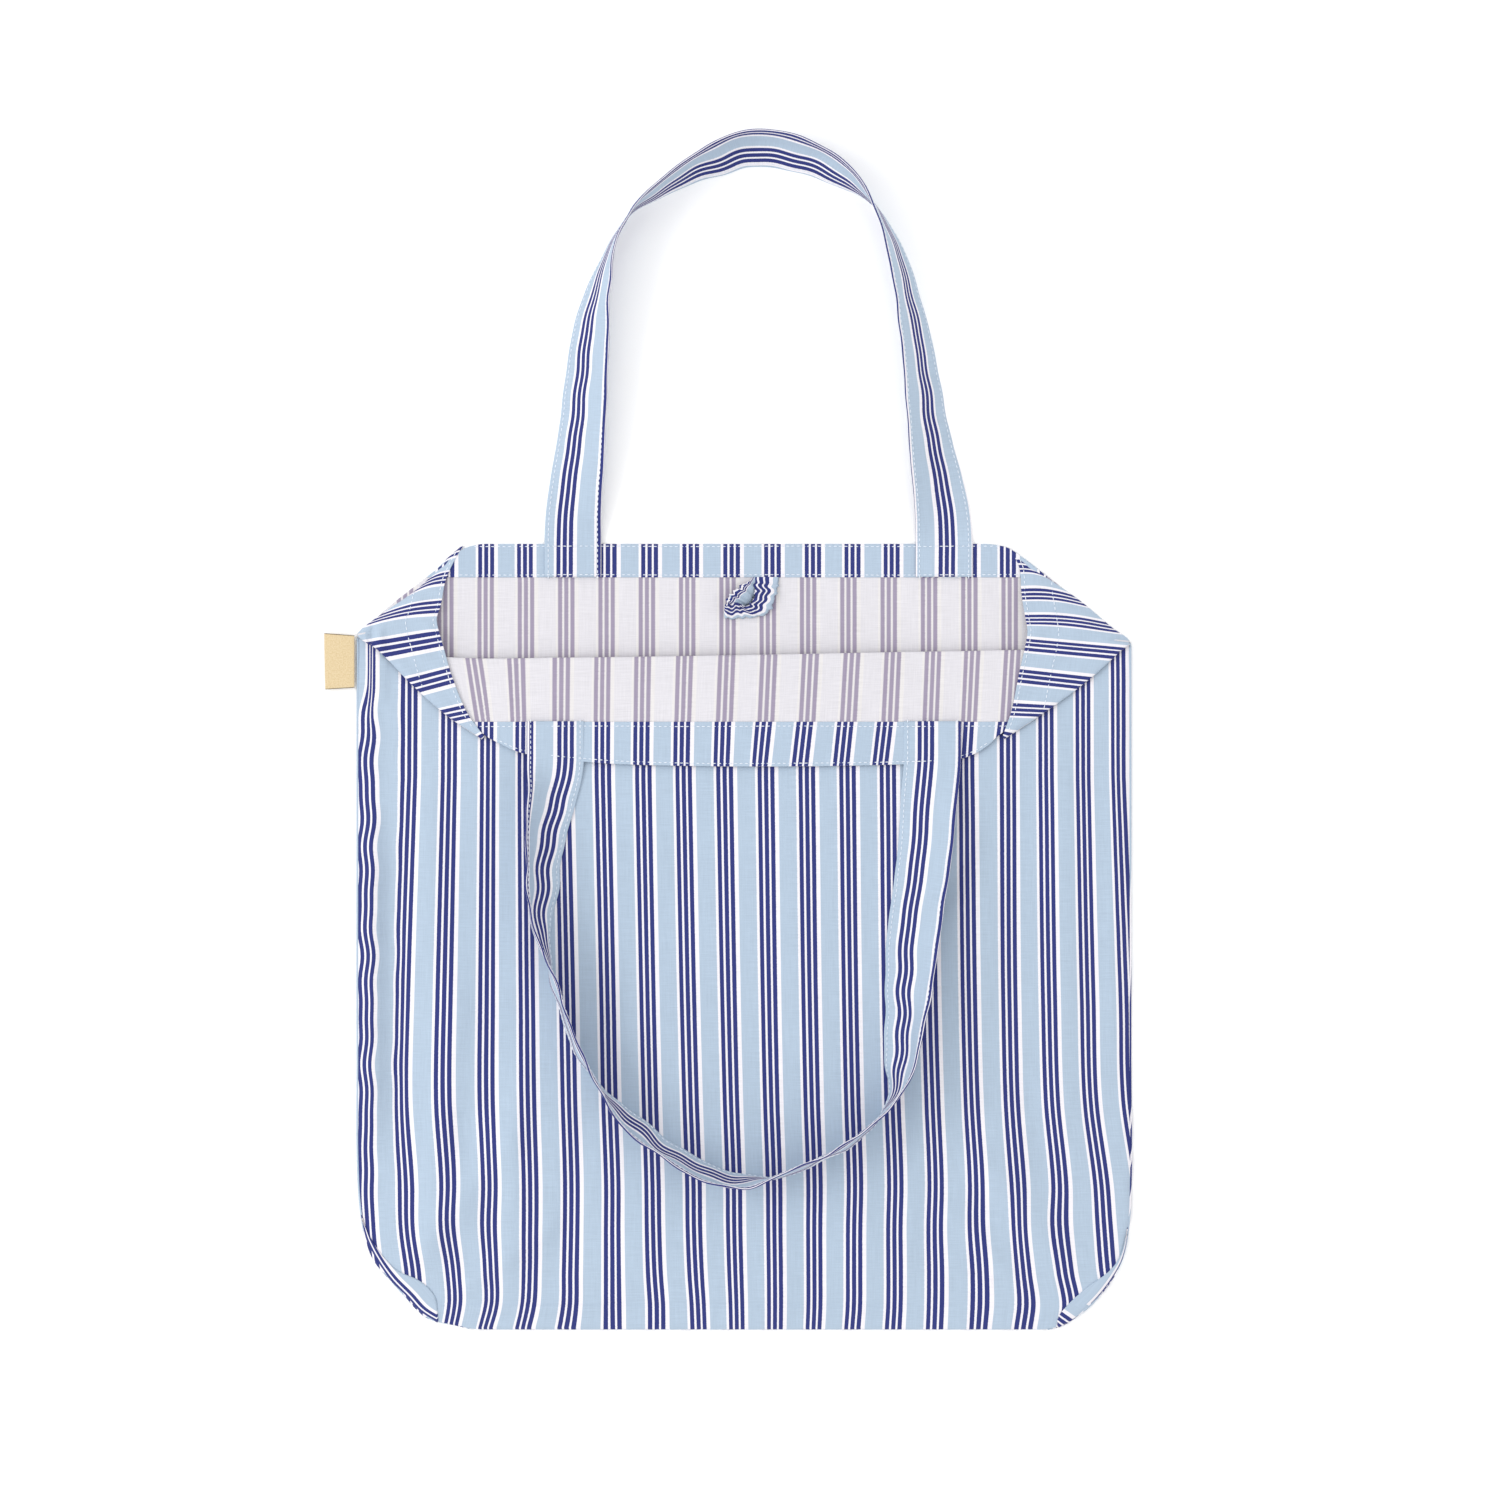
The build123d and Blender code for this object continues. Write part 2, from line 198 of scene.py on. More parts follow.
# The same cloth from behind: the dyes have only soaked through, so it looks pale, soft-edged and flatter still.
wrong_side_dyes = {"white": "#D7D4D4", "navy": "#978EA2", "blue": "#D1CFD4"}
cotton_wrong_side = woven_cotton(
    "striped_cotton_wrong_side", wrong_side_dyes, soft=0.22, roughness=0.9, sheen=0.03
)

# ---------------------------------------------------------------- body
# One strip of cotton that goes down the back, round the bottom and up the front. The front's top is turned
# over outwards, and both ends have a turned hem, sewn down. Its sides are sewn into the side seams.
# All the places from here on are millimetres.

cloth = 0.35  # a thin cotton's thickness
back_low, back_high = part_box("back_panel")
half_w = back_high.x * 1000
half_l = back_high.y * 1000
front_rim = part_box("front_turnover")[0].y * 1000
back_hem_depth = 18.4
front_hem_depth = 23.3
front_hem_edge = 114.0  # the front hem's stitched edge
mean_fold_y = 150.0  # where the front's top turns over, on the whole
hem_fold_r, bottom_fold_r, top_fold_r = 0.7, 1.1, 1.3
hem_lift, turn_lift, front_hem_lift = 0.7, 1.5, 0.8  # from each layer up to the next
lowest = 0.2  # the back's cloth above the table
crown_at = [-209.0, -200.0, -175.0, -130.0, 0.0, 88.0, 118.0, 152.0]
crown_rise = [0.0, 3.0, 9.0, 14.0, 16.0, 14.6, 9.0, 2.4]
crown_half_width = 201.0


def smooth_line(knots, values):
    """A smooth function through the given values; beyond its ends it keeps the end values."""
    knots = np.asarray(knots, float)
    values = np.asarray(values, float)
    gaps = np.diff(knots)
    slopes = np.diff(values, axis=0) / (gaps if values.ndim == 1 else gaps[:, None])
    lean = np.zeros_like(values)
    lean[0] = slopes[0]
    lean[-1] = slopes[-1]
    lean[1:-1] = (slopes[:-1] + slopes[1:]) / 2

    def at(where):
        where = np.clip(where, knots[0], knots[-1])
        i = np.clip(np.searchsorted(knots, where, side="right") - 1, 0, len(gaps) - 1)
        t = (where - knots[i]) / gaps[i]
        gap = gaps[i]
        if values.ndim > 1:
            t = t[..., None]
            gap = gap[..., None]
        a = values[i] * (1 + 2 * t) * (1 - t) ** 2 + values[i + 1] * t * t * (3 - 2 * t)
        return a + gap * (lean[i] * t * (1 - t) ** 2 - lean[i + 1] * t * t * (1 - t))

    return at


def ease(share):
    """From 0 to 1 with no corner at either end."""
    share = np.clip(share, 0, 1)
    return share * share * (3 - 2 * share)


def rounded(share):
    """From 0 to 1 along a quarter of a circle, as cloth rounds a fold."""
    return np.sqrt(np.clip(1 - (1 - np.clip(share, 0, 1)) ** 2, 0, 1))


# outline of the bag laid flat, from the top of each side down to the bottom fold
left_edge = smooth_line(
    [-209, -208, -206, -203, -198, -191, -180, -172, -160, -147, -129, -60, 60, 160],
    [-134, -143, -151, -165, -172.5, -179, -189, -195.6, -200.5, -203, -204.5, -205, -205, -205],
)
right_edge = smooth_line(
    [-209, -208, -206, -202, -195, -190, -183, -172, -163, -153, -143, -60, 60, 160],
    [157, 161, 168, 175, 184, 188.5, 194, 200, 202.5, 204, 204.8, 205, 205, 205],
)
# slanted tops of the back, and slanted sides of the turned-over front
back_slant_left = smooth_line([160, 176, 190, 201, 206.5, 209], [-205, -187, -169, -155, -147, -138])
back_slant_right = smooth_line([156, 176, 192, 203, 207, 209], [204.5, 180, 159.5, 145, 138, 128])
flap_slant_left = smooth_line(
    [88, 106, 113, 121, 129, 137, 152, 161], [-131, -136, -148, -159, -170, -177, -193, -205]
)
flap_slant_right = smooth_line(
    [88, 106, 113, 118, 125, 131, 139, 145, 158], [129, 134, 145, 154, 164, 174, 184, 192, 205]
)
fold_line = smooth_line(
    [-205, -190, -156, -97, 8, 83, 125, 190, 205], [160, 154, 149.2, 149, 150.5, 152, 152.7, 155, 157]
)
rim_line = smooth_line(
    [-137, -129, -121, -111, -82, -60, 80, 109, 122, 130, 134],
    [106, 101.8, 98.1, 95.4, 92.0, 90.7, 90.7, 92.4, 96.5, 101.8, 106],
)

# how far the print lies to the side of its place on the cut cloth, because soft cotton shears as it is laid
shear_x = [-200, -178, -157, -135, -115, -95, -70, -46, -24, 14, 57, 100, 120, 140, 161, 182, 200]
shear_y = [-207, -194, -177, -153, -130, -86, -33, 85]
front_shear = smooth_line(
    shear_y,
    [
        [-7, -5, -2.5, 1.0, 2.3, 0.6, -2.7, -4.7, -5.6, -3.2, -1.3, -2.0, -3.6, -5.6, -8.0, -9, -9],
        [-5, -4.5, -5.0, -2.8, -0.6, -1.3, -2.6, -4.7, -5.1, -3.2, -2.1, -2.3, -4.0, -6.9, -9.3, -11, -11],
        [-3, -3.7, -4.1, -2.6, -1.7, -1.6, -2.7, -3.6, -4.0, -3.1, -2.1, -2.3, -3.9, -6.2, -6.5, -7.9, -9],
        [-1, -0.5, -0.8, -1.3, -2.0, -2.2, -2.7, -2.9, -3.1, -2.8, -2.1, -1.9, -2.3, -4.4, -3.2, -6.0, -7],
        [0, -0.1, -1.2, -1.9, -2.0, -2.4, -2.8, -2.6, -2.9, -2.6, -2.5, -2.4, -2.4, -3.0, -3.9, -4.8, -5],
        [-0.5, 3.0, 1.2, -0.3, -0.9, -1.3, -1.3, -1.3, -1.4, -1.1, -1.1, -0.7, 0.0, 0.0, 0.0, 0.8, 1.5],
        [-0.5, 2.1, 0.6, -0.5, -0.4, -0.3, -0.3, 0.0, 0.0, 0.0, 0.0, 0.8, 1.5, 1.2, 1.6, 2.4, 3],
        [-0.5, -2.0, -1.8, -1.1, 0.6, 2.4, 2.2, 2.2, 2.4, 1.6, 1.4, 1.6, 2.9, 1.8, 3.2, 5.0, 7.8],
    ],
)
back_hem_shear = smooth_line(
    [-140, -115, -96, -72, -50, 0, 36, 78, 140], [0.2, 1.2, 2.1, -0.1, -0.8, -1.6, -1.9, -0.9, 1.7]
)
flap_top_shear = smooth_line(
    [-160, -143, -121, -96, -53, -31, 13, 57, 100, 121], [7, 6.9, 5.8, 2.9, 2.7, 1.8, 0, -1.3, -1.5, -0.8]
)
flap_low_shear = smooth_line([-137, -119, -96, -33, 10, 54, 97, 118], [0, 3.7, 2.9, 3.4, 2.7, 2.4, 1.2, 2.4])
front_hem_shear = smooth_line(
    [-136, -117, -96, -75, -54, -12, 53, 95, 117], [0, 1.6, 1.3, 2.5, 3.2, 3.0, 2.4, 3.2, 2.9]
)
front_hem_lean = smooth_line([-75, -9, 13, 55, 77, 119], [0, 0.9, 2.6, 2.6, 3.0, 1.2])


def shear_on_front(x, y):
    """The print's sideways shift on the front of the bag, with the ripples beside its puckered left seam."""
    rows = front_shear(y)
    flat_x = x.ravel()
    flat_rows = rows.reshape(-1, len(shear_x))
    i = np.clip(np.searchsorted(shear_x, flat_x, side="right") - 1, 0, len(shear_x) - 2)
    low = np.take(shear_x, i)
    t = np.clip((flat_x - low) / (np.take(shear_x, i + 1) - low), 0, 1)
    pick = np.arange(len(flat_x))
    spread = (flat_rows[pick, i] * (1 - t) + flat_rows[pick, i + 1] * t).reshape(x.shape)
    pleat = 5.0 * ease((-196.4 - x) / 1.0) * ease((y - 96) / 46) * ease((163 - y) / 6)
    pucker = 0.6 * np.sin(y / 6.1) + 0.4 * np.sin(y / 3.7 + 1.0) + 0.4 * np.sin(y / 14.0)
    by_the_seam = ease((-178 - x) / 16) * ease((y + 170) / 120) * ease((150 - y) / 30)
    return spread - pleat + 0.9 * pucker * by_the_seam


# soft folds of the front: from, to, height and half width, all mm
front_folds = [
    ((-197, 120), (-199, -120), 1.6, 5.0),
    ((-186, 60), (-184, -110), -2.2, 7.0),
    ((-170, 100), (-160, -60), 0.9, 12.0),
    ((-150, -20), (-168, -160), 1.4, 9.0),
    ((-176, -172), (-120, -100), 1.8, 9.0),
    ((-150, -186), (-98, -150), 1.2, 6.0),
    ((-138, -140), (-150, -90), -1.2, 9.0),
    ((-110, 84), (-118, -30), 0.9, 7.0),
    ((-84, 80), (-78, -60), -0.7, 9.0),
    ((-58, 86), (-40, 20), 0.7, 10.0),
    ((-30, -60), (-60, -180), 0.8, 13.0),
    ((20, 80), (34, -100), 0.6, 12.0),
    ((46, -30), (66, -190), 0.9, 12.0),
    ((70, 84), (66, 0), -0.6, 9.0),
    ((118, 80), (124, -60), 0.9, 10.0),
    ((150, 100), (140, -40), -0.9, 9.0),
    ((170, 110), (168, -120), 1.1, 9.0),
    ((196, 100), (197, -60), 1.2, 5.0),
    ((170, -176), (120, -110), 1.7, 9.0),
    ((150, -190), (106, -140), 1.0, 6.0),
    ((160, -130), (148, -70), -1.2, 8.0),
    ((-10, -196), (90, -197), 0.5, 4.0),
    ((-170, -197), (-70, -195.5), 0.7, 3.0),
    ((0, 20), (-60, -60), 0.5, 16.0),
    ((-152, -193.0), (104, -194.5), -0.45, 1.5),
    ((-118, -60), (-126, -190), 1.0, 6.0),
    ((-82, -90), (-100, -186), -0.8, 6.0),
    ((96, -70), (84, -186), 0.8, 6.0),
    ((0, -120), (22, -196), 0.6, 8.0),
    ((128, 60), (100, 10), -0.7, 6.0),
    ((-192.5, 152), (-193.5, 124), 1.2, 2.6),
    ((-197.6, 154), (-198.2, 126), -1.0, 1.2),
]


def fold_height(x, y, folds):
    """Height that soft folds add: each is a ridge, or a valley where its height is below zero."""
    total = np.zeros_like(x)
    for (x0, y0), (x1, y1), height, half in folds:
        dx, dy = x1 - x0, y1 - y0
        length = math.hypot(dx, dy)
        t = ((x - x0) * dx + (y - y0) * dy) / length**2
        off = ((x - x0) * dy - (y - y0) * dx) / length
        total += height * np.exp(-((off / half) ** 2)) * ease((t + 0.12) / 0.3) * ease((1.12 - t) / 0.3)
    return total


crown_of = smooth_line(crown_at, crown_rise)


def front_height(x, y):
    """Height of the front panel's cloth off the table."""
    inset = np.minimum(np.minimum(x - left_edge(y), right_edge(y) - x), y + half_l)
    crown = crown_of(y) * np.clip(1 - (x / crown_half_width) ** 2, 0, 1)
    ripples = 2.0 * fold_height(x, y, front_folds) * ease((inset - 1) / 8)
    seam_pucker = 0.35 * np.sin(y / 4.3 + 0.8) * ease((inset - 0.5) / 3) * ease((16 - inset) / 10)
    side_rise = 2.6 - 1.9 * ease((y - 126) / 26)  # the sides lie flatter at the mouth
    return 0.8 + side_rise * rounded(inset / 7) + crown + ripples + seam_pucker


def spaced(length, fine, coarse, over=5):
    """Shares of a length: close together near both ends, and wider apart between them."""
    places = [0.0]
    while places[-1] < length / 2:
        near_end = min(places[-1] / over, 1)
        places.append(places[-1] + fine + (coarse - fine) * near_end)
    half = np.array(places) / places[-1] / 2
    return np.concatenate([half, 1 - half[-2::-1]])


def cloth_piece(name, places, prints, thick=cloth, sides=(striped_cotton, cotton_wrong_side)):
    """Makes rows of places, mm, into one sheet with its print side out, and gives it its thickness."""
    rows, columns = places.shape[:2]
    mesh = bpy.data.meshes.new(name)
    corner = np.arange(rows * columns).reshape(rows, columns)
    faces = np.stack([corner[:-1, :-1], corner[:-1, 1:], corner[1:, 1:], corner[1:, :-1]], -1).reshape(-1, 4)
    mesh.from_pydata((places.reshape(-1, 3) / 1000).tolist(), [], faces.tolist())
    layer = mesh.uv_layers.new(name="print")
    layer.data.foreach_set("uv", (prints.reshape(-1, 2)[faces.ravel()] / 1000).ravel())
    mesh.polygons.foreach_set("use_smooth", [True] * len(mesh.polygons))
    piece = bpy.data.objects.new(name, mesh)
    bpy.context.scene.collection.objects.link(piece)
    for material in sides:
        mesh.materials.append(material)
    thicken = piece.modifiers.new("cloth thickness", "SOLIDIFY")
    thicken.thickness = thick / 1000
    thicken.offset = -1
    thicken.material_offset = 1
    thicken.material_offset_rim = 0
    return piece


# Rows from the back hem's raw edge to the front hem's, each with its place across the bag and along the
# strip, and its place in the print. Rows and columns lie closer together near the folds and the seams.
columns = spaced(2 * half_w, 1.2, 3.6)
hem_rows = spaced(back_hem_depth, 0.5, 2.6)
back_rows = spaced(2 * half_l, 0.5, 4.2)
front_rows = spaced(half_l + mean_fold_y, 0.5, 2.8, over=45)
flap_rows = spaced(60, 0.4, 2.4)
front_hem_rows = spaced(front_hem_depth, 0.4, 2.2)


def across_rows(rows, y_of, low, high):
    """A part's places across the bag. A row's height may depend on its place, so both settle in turns."""
    share = rows[:, None] * np.ones_like(columns)[None, :]
    x = np.broadcast_to((columns[None, :] - 0.5) * 2 * half_w, share.shape).copy()
    for _ in range(4):
        y = y_of(share, x)
        x = low(y) + (high(y) - low(y)) * columns[None, :]
    return share, x, y_of(share, x)


def back_low_edge(y):
    return np.where(y > 159, back_slant_left(y), left_edge(y))


def back_high_edge(y):
    return np.where(y > 157, back_slant_right(y), right_edge(y))


sheets = []
# back hem
share, x, y = across_rows(
    hem_rows, lambda f, x: half_l - back_hem_depth * (1 - f), back_low_edge, back_high_edge
)
sheets.append((x, -2 * half_l - back_hem_depth * (1 - share), x + back_hem_shear(x)))
# back
share, x, y = across_rows(back_rows, lambda f, x: half_l - 2 * half_l * f, back_low_edge, back_high_edge)
sheets.append((x, -2 * half_l * (1 - share), x + 0.6 * ease((y + 100) / 100)))
# front
share, x, y = across_rows(
    front_rows, lambda f, x: -half_l + (fold_line(x) + half_l) * f, left_edge, right_edge
)
sheets.append((x, y + half_l, x + shear_on_front(x, y)))
# turned-over top
share, x, y = across_rows(
    flap_rows, lambda f, x: fold_line(x) - (fold_line(x) - rim_line(x)) * f, flap_slant_left, flap_slant_right
)
down = (fold_line(x) - y) / (fold_line(x) - rim_line(x))
flap_shear = flap_top_shear(x) * (1 - down) + flap_low_shear(x) * down
sheets.append((x, half_l + fold_line(x) + fold_line(x) - y, x + flap_shear))
# front hem
share, x, y = across_rows(
    front_hem_rows,
    lambda f, x: rim_line(x) + (front_hem_edge - rim_line(x)) * f,
    flap_slant_left,
    flap_slant_right,
)
hem_shear = front_hem_shear(x) + front_hem_lean(x) * (1 - share)
sheets.append((x, half_l + 2 * fold_line(x) - 2 * rim_line(x) + y, x + hem_shear))

x, along, print_x = (np.concatenate([sheets[0][k]] + [part[k][1:] for part in sheets[1:]]) for k in range(3))


def fold_at(t, place, r):
    """A fold across the strip: the softened distance from it, and how far the cloth is past it."""
    reach = np.sqrt((t - place) ** 2 + r * r)
    return reach, 0.5 * (1 + (t - place) / reach)


# The strip zigzags: each fold turns its direction round, and lifts it by one layer.
top_fold = half_l + fold_line(x)
rim_fold = 2 * fold_line(x) - rim_line(x) + half_l
back_reach, past_back = fold_at(along, -2 * half_l, hem_fold_r)
bottom_reach, past_bottom = fold_at(along, 0, bottom_fold_r)
top_reach, past_top = fold_at(along, top_fold, top_fold_r)
rim_reach, past_rim = fold_at(along, rim_fold, hem_fold_r)
y = half_l + top_fold - rim_fold + along - back_reach + bottom_reach - top_reach + rim_reach
z = lowest + (1 - past_back) * hem_lift + past_bottom * (front_height(x, y) - lowest)
z = z + past_top * turn_lift + past_rim * front_hem_lift
body = cloth_piece("body_cloth", np.stack([x, y, z], -1), np.stack([print_x, along], -1))
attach(body, "bag")
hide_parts("back_panel", "front_panel", "front_turnover", "back_hem", "front_hem", "bottom_fold")

# ---------------------------------------------------------------- ears
# Where the mouth is pulled open, each side folds flat as an ear: print side up, its stripes running out
# from the mouth's rim to the slanted folds, with the side seam between its upper and lower halves.
# Each row gives a stripe's place at the rim, its place at the slanted fold, and its place in the print.

ear_stripes = {
    "left_ear_cloth": [
        ((-148.6, 207.6), (-149.4, 207.2), -266.0),
        ((-151.4, 203.0), (-157.8, 200.2), -261.2),
        ((-157.2, 190.6), (-171.5, 185.9), -243.1),
        ((-160.3, 174.9), (-197.2, 167.6), -221.7),
        ((-162.2, 168.6), (-203.5, 162.6), -213.6),
        ((-162.0, 166.2), (-205.2, 160.2), -209.0),
        ((-159.8, 158.1), (-194.4, 152.0), -200.35),
        ((-154.1, 138.6), (-175.4, 132.9), -179.0),
        ((-146.2, 119.2), (-156.9, 117.0), -157.6),
        ((-137.0, 106.2), (-138.4, 104.8), -138.0),
    ],
    "right_ear_cloth": [
        ((142.2, 203.4), (143.0, 203.8), 278.0),
        ((145.6, 196.1), (155.8, 194.0), 269.6),
        ((146.6, 181.3), (178.7, 177.9), 248.2),
        ((148.7, 167.9), (195.6, 163.8), 226.9),
        ((149.6, 161.6), (204.6, 156.6), 215.5),
        ((148.6, 155.1), (198.9, 150.6), 205.5),
        ((144.8, 138.4), (180.6, 134.4), 184.1),
        ((141.1, 120.4), (160.2, 119.6), 162.8),
        ((136.4, 106.0), (137.6, 105.0), 141.4),
    ],
}
ear_hem_depth = 15.0
tucked_under = 9.0  # cloth that goes on below the ear past its slanted fold
ear_fold_r = 0.35
slant_low = 0.5  # how high the upper slanted fold lies off the table
seam_height = {"left_ear_cloth": 160.5, "right_ear_cloth": 156.5}


def ear_height(x, y):
    """Height of an ear's cloth: over the turned-over front, and down to the back at the back rim."""
    over_front = front_height(x, np.minimum(y, 148)) + 3.4
    down = ease((202 - y) / 44)
    return 1.9 + (over_front - 1.9) * down


ears = {}
for name, stripes in ear_stripes.items():
    side = -1 if name.startswith("left") else 1
    rim = np.array([s[0] for s in stripes])
    edge = np.array([s[1] for s in stripes])
    place = np.array([s[2] for s in stripes])
    stations = np.concatenate([[0], np.cumsum(np.linalg.norm(np.diff(rim + edge, axis=0), axis=1))])
    rows = np.linspace(0, 1, 120) * stations[-1]
    rim = smooth_line(stations, rim)(rows)
    edge = smooth_line(stations, edge)(rows)
    place = np.interp(rows, stations, place)
    length = np.linalg.norm(edge - rim, axis=1)
    size = np.clip(length / 22, 0.05, 1)[:, None]
    tucked = -ear_hem_depth * spaced(ear_hem_depth, 0.25, 2.2)[:0:-1]
    under = tucked_under * spaced(tucked_under, 0.25, 1.8)[1:]
    walk = np.hstack([tucked * size, spaced(56, 0.25, 2.2) * length[:, None], length[:, None] + under * size])
    r = ear_fold_r * size
    from_rim = np.sqrt(walk**2 + r * r)
    from_edge = np.sqrt((walk - length[:, None]) ** 2 + r * r)
    out = from_rim - from_edge - (walk - length[:, None])
    past_rim = 0.5 * (1 + walk / from_rim)
    past_edge = 0.5 * (1 + (walk - length[:, None]) / from_edge)
    way = (edge - rim) / length[:, None]
    x = rim[:, :1] + way[:, :1] * out
    y = rim[:, 1:] + way[:, 1:] * out
    bow = 1.5 * size * np.sin(np.pi * np.clip(out / length[:, None], 0, 1))
    y = y + bow * ease((y - 158) / 8)
    left_over = np.clip((length[:, None] - out) / 20.0, 0, 1)
    upper = edge[:, 1:] > seam_height[name]
    at_fold = np.where(upper, slant_low, front_height(edge[:, :1], edge[:, 1:]) + 1.2)
    lifted = np.where(upper, np.sin(np.pi / 2 * left_over), rounded(left_over * 4))
    z = at_fold + (ear_height(x, y) - at_fold) * lifted
    z = z + 0.35 * np.sin(out / 3.1 + rows[:, None] / 9) * ease(out / 6) * ease((length[:, None] - out) / 8)
    z = z - 0.75 * (1 - past_rim) - 0.75 * past_edge
    places = np.stack([x, y, z], -1)
    prints = np.stack([np.broadcast_to(place[:, None], x.shape), walk], -1)
    ear = cloth_piece(name, places[:, ::-side], prints[:, ::-side])
    ears[name] = (walk, places, length)
    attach(ear, "bag")
    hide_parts(name.replace("_cloth", ""), name.replace("_cloth", "_hem"))

# ---------------------------------------------------------------- side seams
# The back and the front are sewn together inside out, and then turned, so each side seam shows as a soft
# round edge of doubled cotton from the ear down to the bottom. It has no thread on the outside.

seam_r = 0.75
seam_middle = 0.95  # its height off the table


def curve_through(points, count):
    """Evenly spaced points on a smooth curve through the given ones."""
    points = np.asarray(points, float)
    knots = np.concatenate([[0], np.cumsum(np.linalg.norm(np.diff(points, axis=0), axis=1))])
    line = smooth_line(knots, points)
    fine = line(np.linspace(0, knots[-1], 60 * len(points)))
    lengths = np.concatenate([[0], np.cumsum(np.linalg.norm(np.diff(fine, axis=0), axis=1))])
    even = np.linspace(0, lengths[-1], count)
    return np.stack([np.interp(even, lengths, fine[:, k]) for k in range(points.shape[1])], -1)


def tube_piece(name, rings, prints, material):
    """Joins rings of places, mm, into one tube, closed at both ends, with its print's coordinates."""
    rows, around = rings.shape[:2]
    mesh = bpy.data.meshes.new(name)
    here = np.arange(rows * around).reshape(rows, around)
    ahead = np.roll(here, -1, axis=1)
    faces = np.stack([here[:-1], ahead[:-1], ahead[1:], here[1:]], -1).reshape(-1, 4)
    marks = np.stack([prints[:-1, :-1], prints[:-1, 1:], prints[1:, 1:], prints[1:, :-1]], -2).reshape(-1, 2)
    caps = [here[0, ::-1].tolist(), here[-1].tolist()]
    mesh.from_pydata((rings.reshape(-1, 3) / 1000).tolist(), [], faces.tolist() + caps)
    layer = mesh.uv_layers.new(name="print")
    for cap in caps:
        row = 0 if cap[0] < around else rows - 1
        marks = np.concatenate([marks, prints[row, :-1][np.array(cap) % around]])
    layer.data.foreach_set("uv", (marks / 1000).ravel())
    mesh.polygons.foreach_set("use_smooth", [True] * len(faces) + [False] * len(caps))
    mesh.materials.append(material)
    piece = bpy.data.objects.new(name, mesh)
    bpy.context.scene.collection.objects.link(piece)
    return piece


for name, side, edge_of, top, bottom in (
    ("left_side_seam_roll", -1, left_edge, 158.5, -207.5),
    ("right_side_seam_roll", 1, right_edge, 154.5, -208.0),
):
    heights = np.concatenate([np.arange(top, -150, -6.0), np.arange(-150, bottom, -2.0), [bottom]])
    line = curve_through(np.stack([edge_of(heights), heights], -1), 150)
    ahead = np.gradient(line, axis=0)
    ahead /= np.linalg.norm(ahead, axis=1)[:, None]
    outward = np.stack([ahead[:, 1], -ahead[:, 0]], -1) * -side
    turn = np.linspace(0, 2 * np.pi, 13)[:-1]
    reach = seam_r * (0.9 * np.cos(turn)[None, :] - 0.55)
    rings = np.empty((len(line), len(turn), 3))
    rings[..., :2] = line[:, None, :] + outward[:, None, :] * reach[..., None]
    rings[..., 2] = seam_middle + 0.8 * np.sin(turn)[None, :]
    if side < 0:
        rings = rings[:, ::-1]
    prints = np.zeros((len(line), len(turn) + 1, 2))
    beside = line[:, :1] + shear_on_front(line[:, :1], line[:, 1:])
    prints[..., 0] = beside + side * np.linspace(1, 4, len(turn) + 1)[None, :]
    prints[..., 1] = line[:, 1:]
    seam = tube_piece(name, rings, prints, striped_cotton)
    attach(seam, "bag")
    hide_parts(name.replace("_roll", ""))

# ---------------------------------------------------------------- corners of the boxed bottom
# The bottom is boxed: each corner is sewn across, and with the bag laid flat its flap of cloth lies folded
# in along the round of the corner, the stripes running along the edge and turning at the flap's end.

corner_flaps = {
    "left_corner_flap": {
        "inner": [
            (-202.0, -150), (-196.5, -161), (-184.5, -175.5), (-171, -182), (-163.5, -190), (-161.8, -203.5),
        ],
        "outer": [
            (-203.0, -147), (-200.3, -160), (-188.9, -180.2), (-178.5, -191.3), (-172.5, -198),
            (-162.4, -204.6),
        ],
        "replaces": "left_corner_seam",
    },
    "right_corner_flap": {
        "inner": [
            (202.6, -158), (199.0, -169), (194.5, -175.5), (180.2, -186.3), (171.5, -194.3), (166.3, -201.3),
            (165.9, -206.4),
        ],
        "outer": [
            (203.5, -153.5), (202.5, -163), (199.9, -172.5), (188.4, -190.1), (174.6, -202.5), (168, -206.3),
            (166.0, -207.2),
        ],
        "replaces": "right_corner_seam",
    },
}
for name, flap in corner_flaps.items():
    inner = curve_through(flap["inner"], 70)
    outer = curve_through(flap["outer"], 70)
    share = spaced(10, 0.25, 0.9)
    places = inner[:, None, :] + (outer - inner)[:, None, :] * share[None, :, None]
    x, y = places[..., 0], places[..., 1]
    from_edge = np.linalg.norm(places - outer[:, None, :], axis=-1)
    from_inner = np.linalg.norm(places - inner[:, None, :], axis=-1)
    run = np.concatenate([[0], np.cumsum(np.linalg.norm(np.diff(outer, axis=0), axis=1))])
    from_end = (run[-1] - run)[:, None]
    over_front = np.maximum(front_height(x, y), 1.6) + 0.1
    z = 0.3 + rounded(from_edge / 2.2) * over_front + 0.5 * ease(from_inner / 0.8)
    if name.startswith("left"):
        print_place = 11.9 + np.minimum(from_edge, from_end) / 0.8
        order = slice(None)
    else:
        print_place = 8.0 + np.minimum(from_end, 23.3 - from_edge)
        order = slice(None, None, -1)
    places = np.stack([x, y, z], -1)
    prints = np.stack([print_place, from_edge], -1)
    flap_piece = cloth_piece(name, places[:, order], prints[:, order], thick=0.5)
    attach(flap_piece, "bag")
    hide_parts(flap["replaces"])

# ---------------------------------------------------------------- straps
# Each strap is one strip of the cotton folded lengthwise and stitched along one edge, so the print runs
# along it and round its folded edges. Its ends are sewn flat onto the hems, and between them it twists
# onto its edge. The places are x, y and how far the strap is rolled, in degrees.

